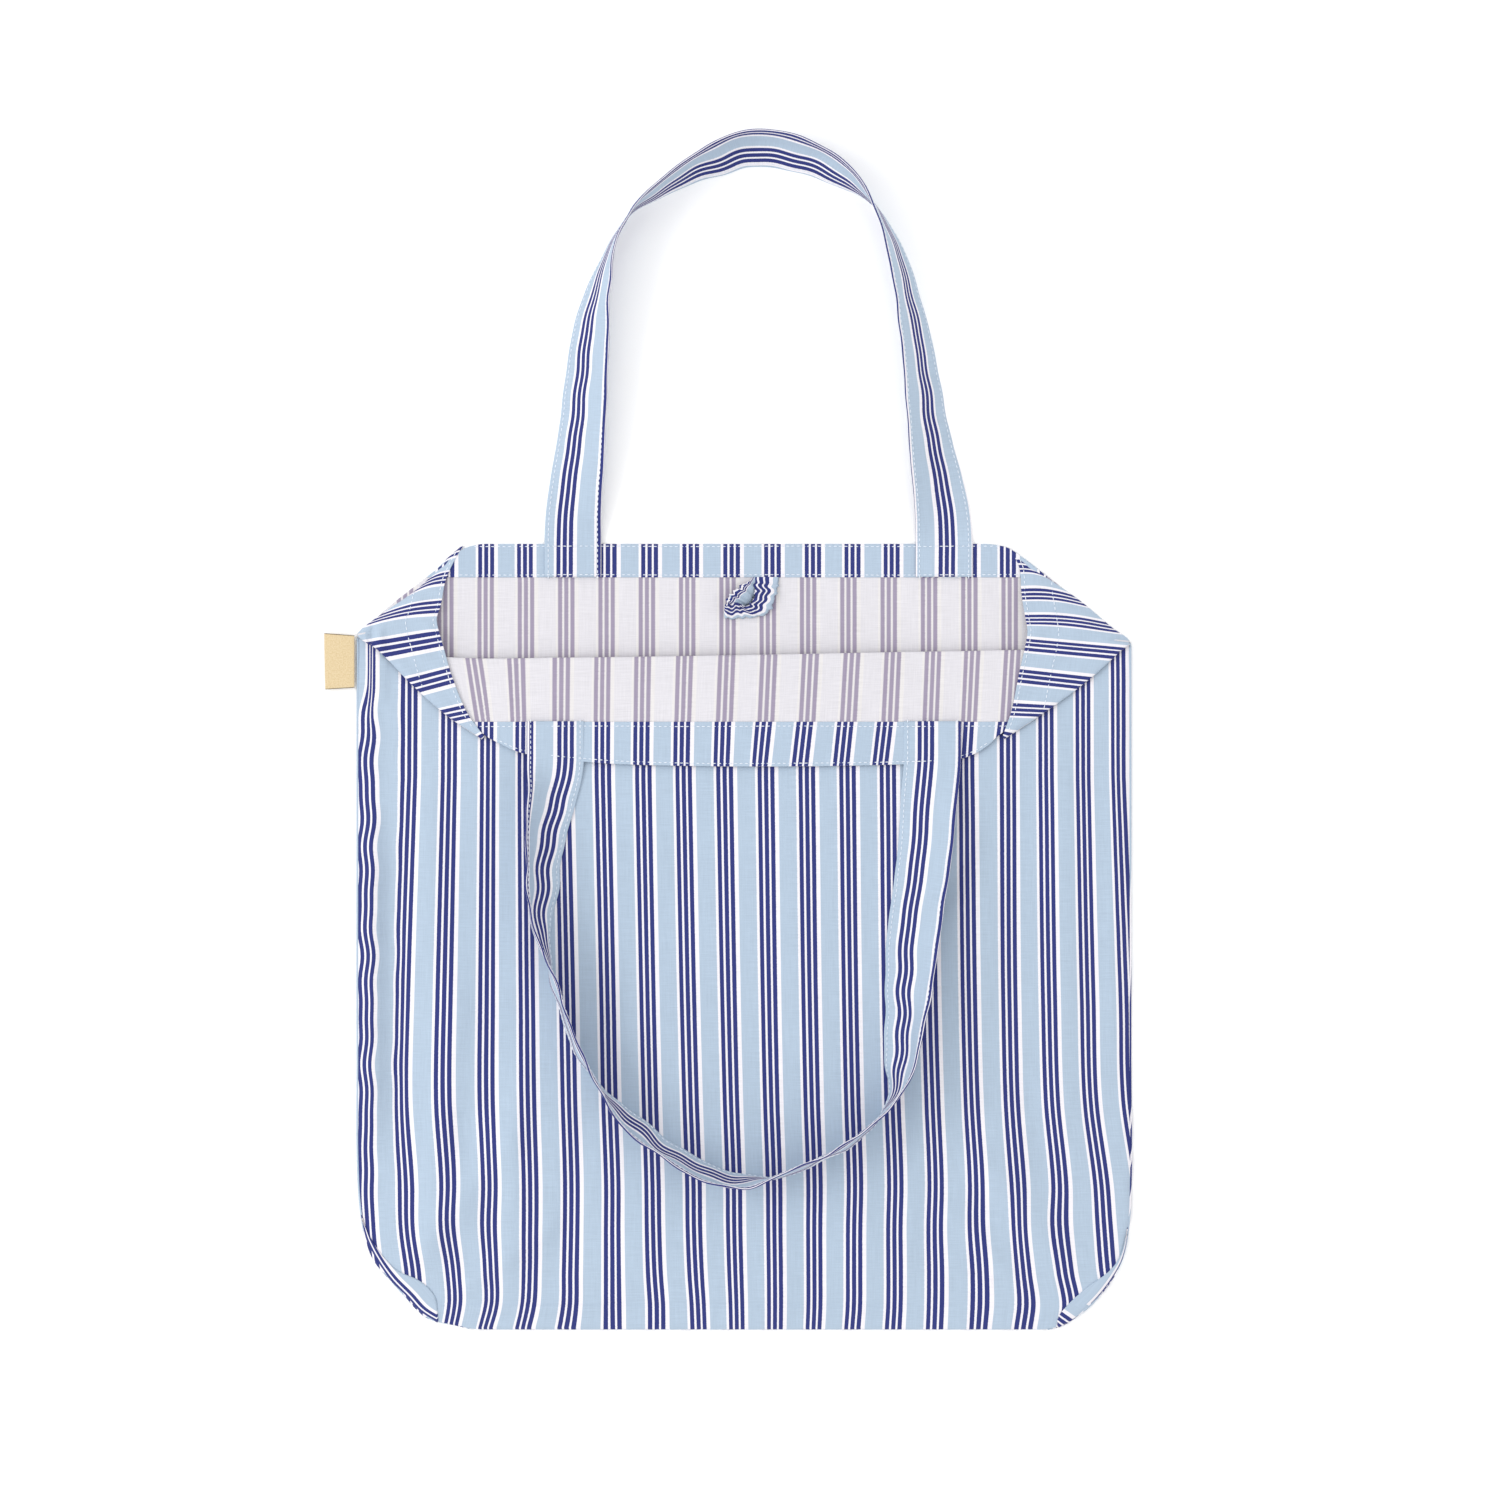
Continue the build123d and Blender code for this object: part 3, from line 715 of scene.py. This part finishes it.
strap_w = 29.0
strap_t = 1.1
print_skip = 3.3  # cloth that the folded edge takes up
seam_inset = 1.9  # from the strap's edge to its row of stitches
thread_stand = 0.05  # how far the middle of a thread stands out of the cloth
# x, y, and the slopes of the stitched half and of the folded half, in degrees
back_strap_route = [
    (-90.6, 190.8, 0, 0), (-90.6, 200, 0, 0), (-90.6, 209, 1, 1), (-90.1, 225, 11, 13),
    (-85.9, 263.4, 29, 34), (-81.1, 316.4, 43, 52), (-78.0, 337.6, 57, 64),
    (-75.0, 348.2, 66, 71), (-72.0, 358.8, 76, 79),
    (-68.0, 369.4, 82, 84), (-61.5, 380, 86, 86), (-57.5, 385.0, 92, 89), (-44.5, 394.5, 104, 94),
    (-33.9, 401.3, 116, 97), (-23.3, 407.1, 128, 100), (-12.7, 411.6, 138, 104), (-0.5, 416.2, 143, 108),
    (10, 417.0, 143, 109), (24.4, 414.8, 140, 108), (40.3, 409.0, 133, 104), (54.2, 400.8, 116, 98),
    (62.1, 394.5, 98, 94), (66.6, 389.2, 90, 90), (73.1, 378.8, 80, 80), (77.6, 368.9, 75, 75),
    (81.3, 358, 68, 71), (84.4, 347.2, 64, 68), (89, 325.5, 57, 62), (90.8, 316.4, 54, 59),
    (98.3, 263.4, 38, 42), (105.0, 225, 13, 14), (106.0, 209, 1, 1), (106.0, 200, 0, 0), (106.0, 190.8, 0, 0),
]
front_strap_route = [
    (-99.4, 114.3, 0, 0), (-99.4, 104, 0, 0), (-99.4, 93, 1, 6), (-100.3, 80, 6, 36), (-102.9, 64, 12, 60),
    (-104.6, 50, 17, 71), (-105.5, 37, 23, 80), (-105.9, 22, 32, 86), (-106.0, 8, 52, 93),
    (-103.4, -7, 76, 97), (-99.6, -22, 93, 98), (-96.0, -34.5, 97, 98),
    (-87.5, -58, 98, 98), (-74.8, -78.8, 88, 92),
    (-68.0, -87.5, 74, 88), (-60.4, -95.2, 64, 87), (-41, -110, 63, 88), (-19.5, -122.6, 66, 86),
    (0, -127.2, 75, 86), (11.1, -126.3, 90, 90), (22, -123.2, 98, 95), (35.5, -117.8, 99, 97),
    (49, -111.3, 99, 97), (59.2, -104.6, 98, 97), (69.3, -95.8, 95, 94), (76.1, -87.0, 84, 90),
    (80.3, -76.2, 62, 84), (81.9, -66, 40, 80), (83.2, -54.6, 28, 71), (85.9, -33.4, 22, 57),
    (88.2, -6.9, 18, 33), (91.6, 19.6, 16, 29), (95.3, 46.1, 14, 24), (97.4, 72.6, 8, 13), (99.2, 92, 1, 3),
    (99.4, 104, 0, 0), (99.4, 114.3, 0, 0),
]


def level_out(values, reach):
    """Smooths a row of numbers over a few stations and keeps its ends."""
    window = np.hanning(2 * reach + 3)[1:-1]
    padded = np.concatenate([np.full(reach, values[0]), values, np.full(reach, values[-1])])
    return np.convolve(padded, window / window.sum(), mode="valid")


def strap_piece(name, route, lie_on, sewn_z, hem_edge, outwards, print_start, seed, limp):
    """A strap from one sewn end to the other, the lines that its rows of stitches follow, and its length.

    lie_on and sewn_z give the heights that its free part rests on and that its ends are sewn at; it is free
    past hem_edge, outwards being +1 or -1 along y. print_start is its print's place at each end.
    """
    route = np.asarray(route, float)
    knots = np.concatenate([[0], np.cumsum(np.linalg.norm(np.diff(route[:, :2], axis=0), axis=1))])
    fine = smooth_line(knots, route)(np.linspace(0, knots[-1], 4000))
    run = np.concatenate([[0], np.cumsum(np.linalg.norm(np.diff(fine[:, :2], axis=0), axis=1))])
    even = np.linspace(0, run[-1], 440)
    x, y, near, far = (np.interp(even, run, fine[:, k]) for k in range(4))
    ahead = np.gradient(np.stack([x, y], -1), axis=0)
    ahead /= np.linalg.norm(ahead, axis=1)[:, None]
    level = np.stack([ahead[:, 1], -ahead[:, 0]], -1)
    free = ease((y - hem_edge) * outwards / 22)

    # the strap's cross-section: its slope from the stitched edge to the folded one, and soft waves
    half = strap_w / 2
    a = np.linspace(-half, half, 21)
    u = (a + half) / strap_w
    slope = near[:, None] + (far - near)[:, None] * ease((u - 0.34) / 0.36)[None, :]
    slack = limp * ease(np.abs(np.sin(np.radians(near + far) / 2)) * 1.3)[:, None] * free[:, None]
    waves = 7 * np.sin(even / 5.6 + seed) + 5 * np.sin(even / 3.3 + 2 * seed)
    slope = slope + slack * waves[:, None] * (u - 0.35)[None, :] * 1.4
    slope = slope + slack * 6 * np.sin(even / 9.0 + seed)[:, None] * np.cos(2 * np.pi * u)[None, :]
    slope = np.radians(slope)
    pace = strap_w / (len(a) - 1)
    zero = np.zeros((len(x), 1))
    over = np.hstack([zero, np.cumsum((np.cos(slope[:, 1:]) + np.cos(slope[:, :-1])) / 2 * pace, axis=1)])
    up = np.hstack([zero, np.cumsum((np.sin(slope[:, 1:]) + np.sin(slope[:, :-1])) / 2 * pace, axis=1)])
    over -= (over[:, :1] + over[:, -1:]) / 2
    px = x[:, None] + level[:, :1] * over
    py = y[:, None] + level[:, 1:] * over
    needed = (lie_on(px, py) - up).max(axis=1) + strap_t / 2
    sewn = sewn_z(x, y) - up[:, len(a) // 2]
    z = np.where(free > 0, np.maximum(needed, needed * free + (1 - free) * sewn), sewn)
    z = level_out(z, 6)
    middle = np.stack([px, py, z[:, None] + up], -1)
    normal = np.stack([-level[:, :1] * np.sin(slope), -level[:, 1:] * np.sin(slope), np.cos(slope)], -1)
    along_a = np.stack([level[:, :1] * np.cos(slope), level[:, 1:] * np.cos(slope), np.sin(slope)], -1)

    # one face, round the folded edge, the other face, and round the stitched edge
    thick = strap_t / 2
    bend = np.radians([60, 30, 0, -30, -60])[:, None]
    far_round = middle[:, -1:] + thick * (along_a[:, -1:] * np.cos(bend) + normal[:, -1:] * np.sin(bend))
    near_round = middle[:, :1] - thick * (along_a[:, :1] * np.cos(bend) + normal[:, :1] * np.sin(bend))
    face = middle + normal * thick
    back = (middle - normal * thick)[:, ::-1]
    rings = np.concatenate([face, far_round, back, near_round], axis=1)
    flat = a + half
    around = np.concatenate([
        flat, strap_w + print_skip * np.linspace(0.1, 0.9, 5), strap_w + print_skip + flat,
        2 * strap_w + print_skip + np.linspace(0.1, 0.5, 5), [2 * strap_w + print_skip + 0.6],
    ])
    print_wave = slack[:, 0] * (0.35 * np.sin(even / 3.7 + seed) + 0.25 * np.sin(even / 8.3))
    starts = np.interp(even, [0, even[-1]], print_start)
    prints = np.empty((len(x), len(around), 2))
    prints[..., 0] = around[None, :] + (starts + print_wave)[:, None]
    prints[..., 1] = even[:, None]
    piece = tube_piece(name, rings, prints, striped_cotton)
    seams = []
    for inset, side in ((seam_inset, 1), (seam_inset, -1), (strap_w - seam_inset, 1)):
        i = int(round(inset / pace))
        seams.append(middle[:, i] + normal[:, i] * (thick + thread_stand) * side)
    return piece, seams, even[-1]


def back_hem_top(x, y):
    return np.full_like(x, lowest + hem_lift)


def front_hem_top(x, y):
    return front_height(x, y) + turn_lift + front_hem_lift


back_strap, back_strap_seams, back_length = strap_piece(
    "back_strap_cloth",
    back_strap_route,
    lie_on=lambda x, y: np.full_like(x, 0.05),
    sewn_z=lambda x, y: back_hem_top(x, y) + 0.1 + strap_t / 2,
    hem_edge=half_l,
    outwards=1,
    print_start=(3.2, 0.2),
    seed=0.4,
    limp=0.45,
)
front_strap, front_strap_seams, front_length = strap_piece(
    "front_strap_cloth",
    front_strap_route,
    lie_on=lambda x, y: front_height(x, y) + 0.15,
    sewn_z=lambda x, y: front_hem_top(x, y) + 0.1 + strap_t / 2,
    hem_edge=front_rim,
    outwards=-1,
    print_start=(4.2, 2.2),
    seed=1.7,
    limp=0.9,
)
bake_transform(back_strap)
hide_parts("back_strap", "back_strap_left_end", "back_strap_right_end")
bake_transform(front_strap)
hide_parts("front_strap", "front_strap_left_end", "front_strap_right_end")

# ---------------------------------------------------------------- elastic loop
# A short length of elastic in a gathered casing of the same cotton, flat and about 14 mm wide. Both its ends
# are caught under the back hem's lower edge, and it closes the mouth. Each row gives the casing's two edges
# from its right end round to its left one.

loop_route = [
    ((4.8, 190.7, 1.1), (18.6, 190.7, 1.1)),
    ((5.2, 187.5, 2.0), (18.3, 187.2, 1.7)),
    ((5.5, 184.0, 4.2), (17.8, 184.2, 2.0)),
    ((5.7, 181.6, 5.6), (17.2, 181.8, 2.4)),
    ((5.0, 178.8, 5.4), (16.0, 178.8, 2.9)),
    ((3.2, 176.6, 5.7), (14.8, 174.2, 2.4)),
    ((0.6, 175.0, 5.9), (10.8, 170.6, 1.7)),
    ((-1.7, 176.3, 5.6), (3.6, 169.2, 1.4)),
    ((-3.8, 177.2, 5.9), (-2.0, 168.9, 1.3)),
    ((-5.7, 176.8, 6.2), (-6.6, 168.4, 1.5)),
    ((-7.8, 176.0, 6.6), (-10.0, 169.4, 2.4)),
    ((-9.0, 175.2, 7.0), (-9.6, 172.0, 2.0)),
    ((-9.4, 178.2, 6.6), (-4.4, 173.6, 1.6)),
    ((-7.6, 180.8, 6.4), (0.6, 175.0, 1.5)),
    ((-4.6, 183.8, 5.6), (4.0, 177.6, 1.5)),
    ((-0.8, 186.8, 4.0), (5.8, 182.6, 1.4)),
    ((3.4, 189.0, 2.2), (6.4, 188.2, 1.1)),
    ((4.6, 190.7, 1.2), (7.2, 190.7, 0.9)),
]
casing_t = 1.0  # half its thickness over the elastic
casing_turn = 13.8  # cloth across its upper face
print_stretch = 1.6  # more cloth than length, because it is gathered

loop_route = np.array(loop_route, float)
middle = loop_route.mean(axis=1)
knots = np.concatenate([[0], np.cumsum(np.linalg.norm(np.diff(middle, axis=0), axis=1))])
even = np.linspace(0, knots[-1], 330)
near_edge = smooth_line(knots, loop_route[:, 0])(even)
far_edge = smooth_line(knots, loop_route[:, 1])(even)
ahead = np.gradient((near_edge + far_edge) / 2, axis=0)
ahead /= np.linalg.norm(ahead, axis=1)[:, None]
across = far_edge - near_edge
outward = np.cross(ahead, across)
outward /= np.linalg.norm(outward, axis=1)[:, None]
share = np.linspace(0, 1, 13)
round_edge = np.sqrt(np.clip(1 - (2 * share - 1) ** 4, 0, 1))
gathers = np.sin(even / 0.62 + 0.8 * np.sin(even / 2.3)) + 0.6 * np.sin(even / 0.37 + 1.3)
held_flat = ease(even / 6) * ease((knots[-1] - even) / 6)
bands = []
for side in (1, -1):
    lean = gathers[:, None] * (0.22 + 0.16 * np.sin(5 * share + side)[None, :]) * held_flat[:, None]
    thin_end = 0.25 + (casing_t - 0.25) * held_flat[:, None]
    lift = side * thin_end * round_edge[None, :] + lean
    at = near_edge[:, None, :] + across[:, None, :] * share[None, :, None]
    at = at + outward[:, None, :] * lift[..., None]
    scallop = (gathers * 0.35 * held_flat)[:, None] * (2 * share - 1)[None, :]
    at += (across / np.linalg.norm(across, axis=1)[:, None])[:, None, :] * scallop[..., None]
    bands.append(at)
rings = np.concatenate([bands[0], bands[1][:, -2:0:-1]], axis=1)
around = np.concatenate([share, 1 + (1 - share[-2:0:-1])])
wobble = (0.6 * np.sin(even / 1.9) + 0.7 * np.sin(even / 0.8 + 1.0))[:, None] * held_flat[:, None]
prints = np.zeros((len(even), len(around) + 1, 2))
inner_print = 24.0 + 2.0 * (around - 1) + 26.0 * np.clip(around - 1.55, 0, 1)
prints[:, :-1, 0] = np.where(around > 1, inner_print, 7.9 + casing_turn * around) + wobble
prints[:, -1, 0] = prints[:, -2, 0]
prints[..., 1] = even[:, None] * print_stretch
loop = tube_piece("elastic_loop_casing", rings[:, ::-1], prints[:, ::-1], striped_cotton)
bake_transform(loop)
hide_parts("loop_casing", "loop_elastic")

# ---------------------------------------------------------------- side label
# A woven tape label, folded in two and caught in the left side seam so that it stands out as a small tab.
# It is satin-woven in cream thread with closely packed picks, which gives it a fine rib and a soft gloss.

label_low, label_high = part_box("side_label")
label_top, label_bottom = label_high.y * 1000 - 0.7, label_low.y * 1000 + 0.6
label_out, label_in = label_low.x * 1000, label_high.x * 1000
label_middle = 2.55  # its height off the table
rib = 0.5  # mm; real picks are about 0.15 apart, so the rib is drawn coarser here to show at all

# Satin-woven label tape: cream, a little glossy, with a fine rib across it and a darker line near each end.
woven_label, tree, shader = new_material("satin_woven_label_tape")
place = step(tree, "UVMap", {"uv_map": "print"})
apart = step(tree, "SeparateXYZ", in_0=place)
picks = step(tree, "Math", times, in_0=apart.outputs[1], in_1=2000 * math.pi / rib)
picks = step(tree, "Math", {"operation": "SINE"}, in_0=picks)
grain = step(tree, "TexNoise", Vector=place, Scale=1400.0, Detail=2.0, Roughness=0.6)
tint = step(tree, "Math", times_plus, in_0=picks, in_1=0.12, in_2=grain.outputs["Fac"])
ramp = step(tree, "ValToRGB", in_0=tint)
for element, at, colour in zip(ramp.color_ramp.elements, (0.25, 0.75), ("#C9B084", "#DDCBA6")):
    element.position = at
    element.color = linear(colour)
from_end = step(tree, "Math", {"operation": "ABSOLUTE"}, in_0=apart.outputs[1])
end_line = step(tree, "Math", {"operation": "GREATER_THAN"}, in_0=from_end, in_1=0.0135)
edged = step(tree, "Mix", {"data_type": "RGBA"}, in_0=end_line, in_6=ramp, in_7=linear("#77694F"))
tree.links.new(edged.outputs[2], shader.inputs["Base Color"])
bump = step(tree, "Bump", Height=picks, Strength=0.4, Distance=0.0001)
tree.links.new(bump.outputs[0], shader.inputs["Normal"])
shader.inputs["Roughness"].default_value = 0.5
shader.inputs["Sheen Weight"].default_value = 0.15

u = np.linspace(0, 1, 26)[None, :]
v = np.linspace(0, 1, 40)[:, None]
x = label_in + (label_out + 0.6 * v - label_in) * u - 0.3
y = label_top + (label_bottom - label_top) * v + 1.2 * u * (1 - v) - 1.0 * u * v
z = label_middle + 0.5 * np.sin(2.6 * u + 0.4) * np.cos(2.4 * v - 0.6) * u
prints = np.stack(np.broadcast_arrays(u * 15, 13.9 - 27.8 * v), -1)
sides = (woven_label, woven_label)
label = cloth_piece("side_label_tape", np.stack([x, y, z], -1), prints, thick=0.7, sides=sides)
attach(label, "label")
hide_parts("side_label")

# ---------------------------------------------------------------- stitching
# Rows of machine stitches in pale cotton thread hold the hems, the ears, the strap ends and the straps' open
# edges. Each stitch is a short bead of thread that dips into the cloth at both its ends.

stitch_sizes = {"Pitch": 2.8, "Length": 2.2, "Thread": 0.5}  # mm
sway_seed = 4  # for how far each stitch turns from its row
most_sway = 0.07  # rad

# Mercerised cotton thread: nearly white with a hint of blue, smooth and a little glossy, its twist just seen.
sewing_thread, tree, shader = new_material("mercerised_cotton_thread")
place = step(tree, "TexCoord")
slanting = {"wave_type": "BANDS", "bands_direction": "DIAGONAL"}
twist = step(tree, "TexWave", slanting, Vector=place.outputs["Object"], Scale=1400.0)
ramp = step(tree, "ValToRGB", in_0=twist.outputs["Fac"])
for element, colour in zip(ramp.color_ramp.elements, ("#C9D4E2", "#EEF1F6")):
    element.color = linear(colour)
tree.links.new(ramp.outputs["Color"], shader.inputs["Base Color"])
shader.inputs["Roughness"].default_value = 0.55
shader.inputs["Sheen Weight"].default_value = 0.2


def stitching_tree():
    """Sets a bead of thread at even steps along each line of a wire mesh."""
    tree = bpy.data.node_groups.new("machine_stitches", "GeometryNodeTree")
    tree.interface.new_socket("Lines", in_out="INPUT", socket_type="NodeSocketGeometry")
    for size_name in stitch_sizes:
        tree.interface.new_socket(size_name, in_out="INPUT", socket_type="NodeSocketFloat")
    tree.interface.new_socket("Stitches", in_out="OUTPUT", socket_type="NodeSocketGeometry")
    given = step(tree, "NodeGroupInput")
    curve = step(tree, "GeometryNodeMeshToCurve", Mesh=given.outputs["Lines"])
    pitch, length, thread = (given.outputs[size_name] for size_name in stitch_sizes)
    even = step(tree, "GeometryNodeResampleCurve", {"mode": "LENGTH"}, Curve=curve, Length=pitch)
    bead = step(tree, "GeometryNodeMeshUVSphere", Segments=6, Rings=5, Radius=0.5)
    size = step(tree, "CombineXYZ", in_0=length, in_1=thread, in_2=thread)
    shaped = step(tree, "GeometryNodeTransform", Geometry=bead.outputs["Mesh"], Scale=size)
    ahead = step(tree, "GeometryNodeInputTangent")
    turned = step(tree, "FunctionNodeAlignRotationToVector", {"axis": "X"}, Vector=ahead)
    least, most = (0, 0, -most_sway), (0, 0, most_sway)
    sway = step(
        tree, "FunctionNodeRandomValue", {"data_type": "FLOAT_VECTOR"}, Min=least, Max=most, Seed=sway_seed
    )
    local = {"rotation_space": "LOCAL"}
    swayed = step(tree, "FunctionNodeRotateRotation", local, Rotation=turned, Rotate_By=sway)
    set_out = step(tree, "GeometryNodeInstanceOnPoints", Points=even, Instance=shaped, Rotation=swayed)
    real = step(tree, "GeometryNodeRealizeInstances", Geometry=set_out)
    dyed = step(tree, "GeometryNodeSetMaterial", Geometry=real, Material=sewing_thread)
    step(tree, "NodeGroupOutput", Stitches=dyed)
    return tree


machine_stitches = stitching_tree()


def sew(name, lines):
    """Bakes rows of stitches along the given lines, mm, into one plain mesh."""
    wire = bpy.data.meshes.new(name + "_line")
    points, pairs = [], []
    for line in lines:
        first = len(points)
        points += (np.asarray(line) / 1000).tolist()
        pairs += [(first + i, first + i + 1) for i in range(len(line) - 1)]
    wire.from_pydata(points, pairs, [])
    helper = bpy.data.objects.new(name + "_line", wire)
    bpy.context.scene.collection.objects.link(helper)
    made = helper.modifiers.new("stitches", "NODES")
    made.node_group = machine_stitches
    for item in machine_stitches.interface.items_tree:
        if item.name in stitch_sizes:
            made[item.identifier] = stitch_sizes[item.name] / 1000
    seen = helper.evaluated_get(bpy.context.evaluated_depsgraph_get())
    mesh = bpy.data.meshes.new_from_object(seen)
    mesh.name = name
    mesh.polygons.foreach_set("use_smooth", [True] * len(mesh.polygons))
    bpy.data.objects.remove(helper)
    piece = bpy.data.objects.new(name, mesh)
    bpy.context.scene.collection.objects.link(piece)
    return piece


def level_row(y_of, first, last, z_of):
    """A row of stitches across the bag, not quite straight."""
    x = np.linspace(first, last, max(int(abs(last - first) / 2), 2))
    y = y_of(x) + 0.12 * np.sin(x / 17)
    return np.stack([x, y, z_of(x, y)], -1)


def rows_between_feet(y_of, ends, feet, z_of):
    """A hem's row of stitches: the stretches of plain hem, and those over the two strap ends."""
    low, high = ends
    left, right = feet
    stops = [low, left - foot, left + foot, right - foot, right + foot, high]
    plain = [level_row(y_of, stops[i] + 1, stops[i + 1] - 1, z_of) for i in (0, 2, 4)]
    over_strap = [
        level_row(y_of, at - foot + 1.5, at + foot - 1.5, lambda x, y: z_of(x, y) + 0.1 + strap_t)
        for at in feet
    ]
    return plain, over_strap


def on_back_hem(x, y):
    return back_hem_top(x, y) + thread_stand


def on_front_hem(x, y):
    return front_hem_top(x, y) + thread_stand


foot = strap_w / 2
back_feet, front_feet = (-90.6, 106.0), (-99.4, 99.4)
back_hem_lines, front_hem_lines, back_foot_lines, front_foot_lines, ear_lines = [], [], [], [], []
for row_y in (207.0, 191.9):
    ends = (max(back_slant_left(row_y) + 2.5, -151.0), min(back_slant_right(row_y) - 2.5, 145.0))
    plain, over_strap = rows_between_feet(lambda x: row_y + 0 * x, ends, back_feet, on_back_hem)
    back_hem_lines += plain
    back_foot_lines += over_strap
for y_of in (lambda x: 111.6 + 0 * x, lambda x: rim_line(x) + 2.3):
    ends = (flap_slant_left(y_of(-130.0)) + 3, flap_slant_right(y_of(128.0)) - 3)
    plain, over_strap = rows_between_feet(y_of, ends, front_feet, on_front_hem)
    front_hem_lines += plain
    front_foot_lines += over_strap
for walk, grid, length in ears.values():
    for from_rim in (2.2, 17.0):
        line = [
            [np.interp(from_rim, walk[i], grid[i, :, k]) for k in range(3)]
            for i in range(len(length))
            if length[i] > from_rim + 4
        ]
        ear_lines.append(np.array(line) + (0, 0, thread_stand))

for name, lines, node in (
    ("back_hem_stitches", back_hem_lines, "back_hem_stitching"),
    ("front_hem_stitches", front_hem_lines, "front_hem_stitching"),
    ("ear_stitches", ear_lines, "ear_stitching"),
    ("strap_end_stitches", back_foot_lines + front_foot_lines, "strap_end_stitching"),
):
    sewn = sew(name, lines)
    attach(sewn, "bag")
    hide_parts(node)
sewn = sew("back_strap_stitches", back_strap_seams)
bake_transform(sewn)
sewn = sew("front_strap_stitches", front_strap_seams)
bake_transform(sewn)

# ---------------------------------------------------------------- studio
# A table covered in plain white paper, a pale surround that lights it from all round, and one large soft
# light, high on the left, which gives the folds their shade.

bpy.context.scene.view_settings.view_transform = "Standard"

world = bpy.data.worlds.new("studio")
bpy.context.scene.world = world
world.use_nodes = True
world.node_tree.nodes["Background"].inputs["Color"].default_value = (1, 1, 1, 1)
world.node_tree.nodes["Background"].inputs["Strength"].default_value = 1.15

floor_mesh = bpy.data.meshes.new("floor")
floor_mesh.from_pydata([(-4, -4, 0), (4, -4, 0), (4, 4, 0), (-4, 4, 0)], [], [(0, 1, 2, 3)])
floor = bpy.data.objects.new("floor", floor_mesh)
bpy.context.scene.collection.objects.link(floor)
# White background paper, uncoated: plain and matte.
floor_white, tree, shader = new_material("studio_paper")
shader.inputs["Base Color"].default_value = linear("#FFFFFF")
shader.inputs["Roughness"].default_value = 0.9
floor_mesh.materials.append(floor_white)
floor.location.z = -0.0005

key_data = bpy.data.lights.new("softbox_left", "AREA")
key_data.shape = "RECTANGLE"
key_data.size = 1.8
key_data.size_y = 2.4
key_data.energy = 58
key = bpy.data.objects.new("softbox_left", key_data)
key.location = (-3.3, 0.4, 2.9)
key.rotation_euler = (0, -math.radians(49), 0)
bpy.context.scene.collection.objects.link(key)
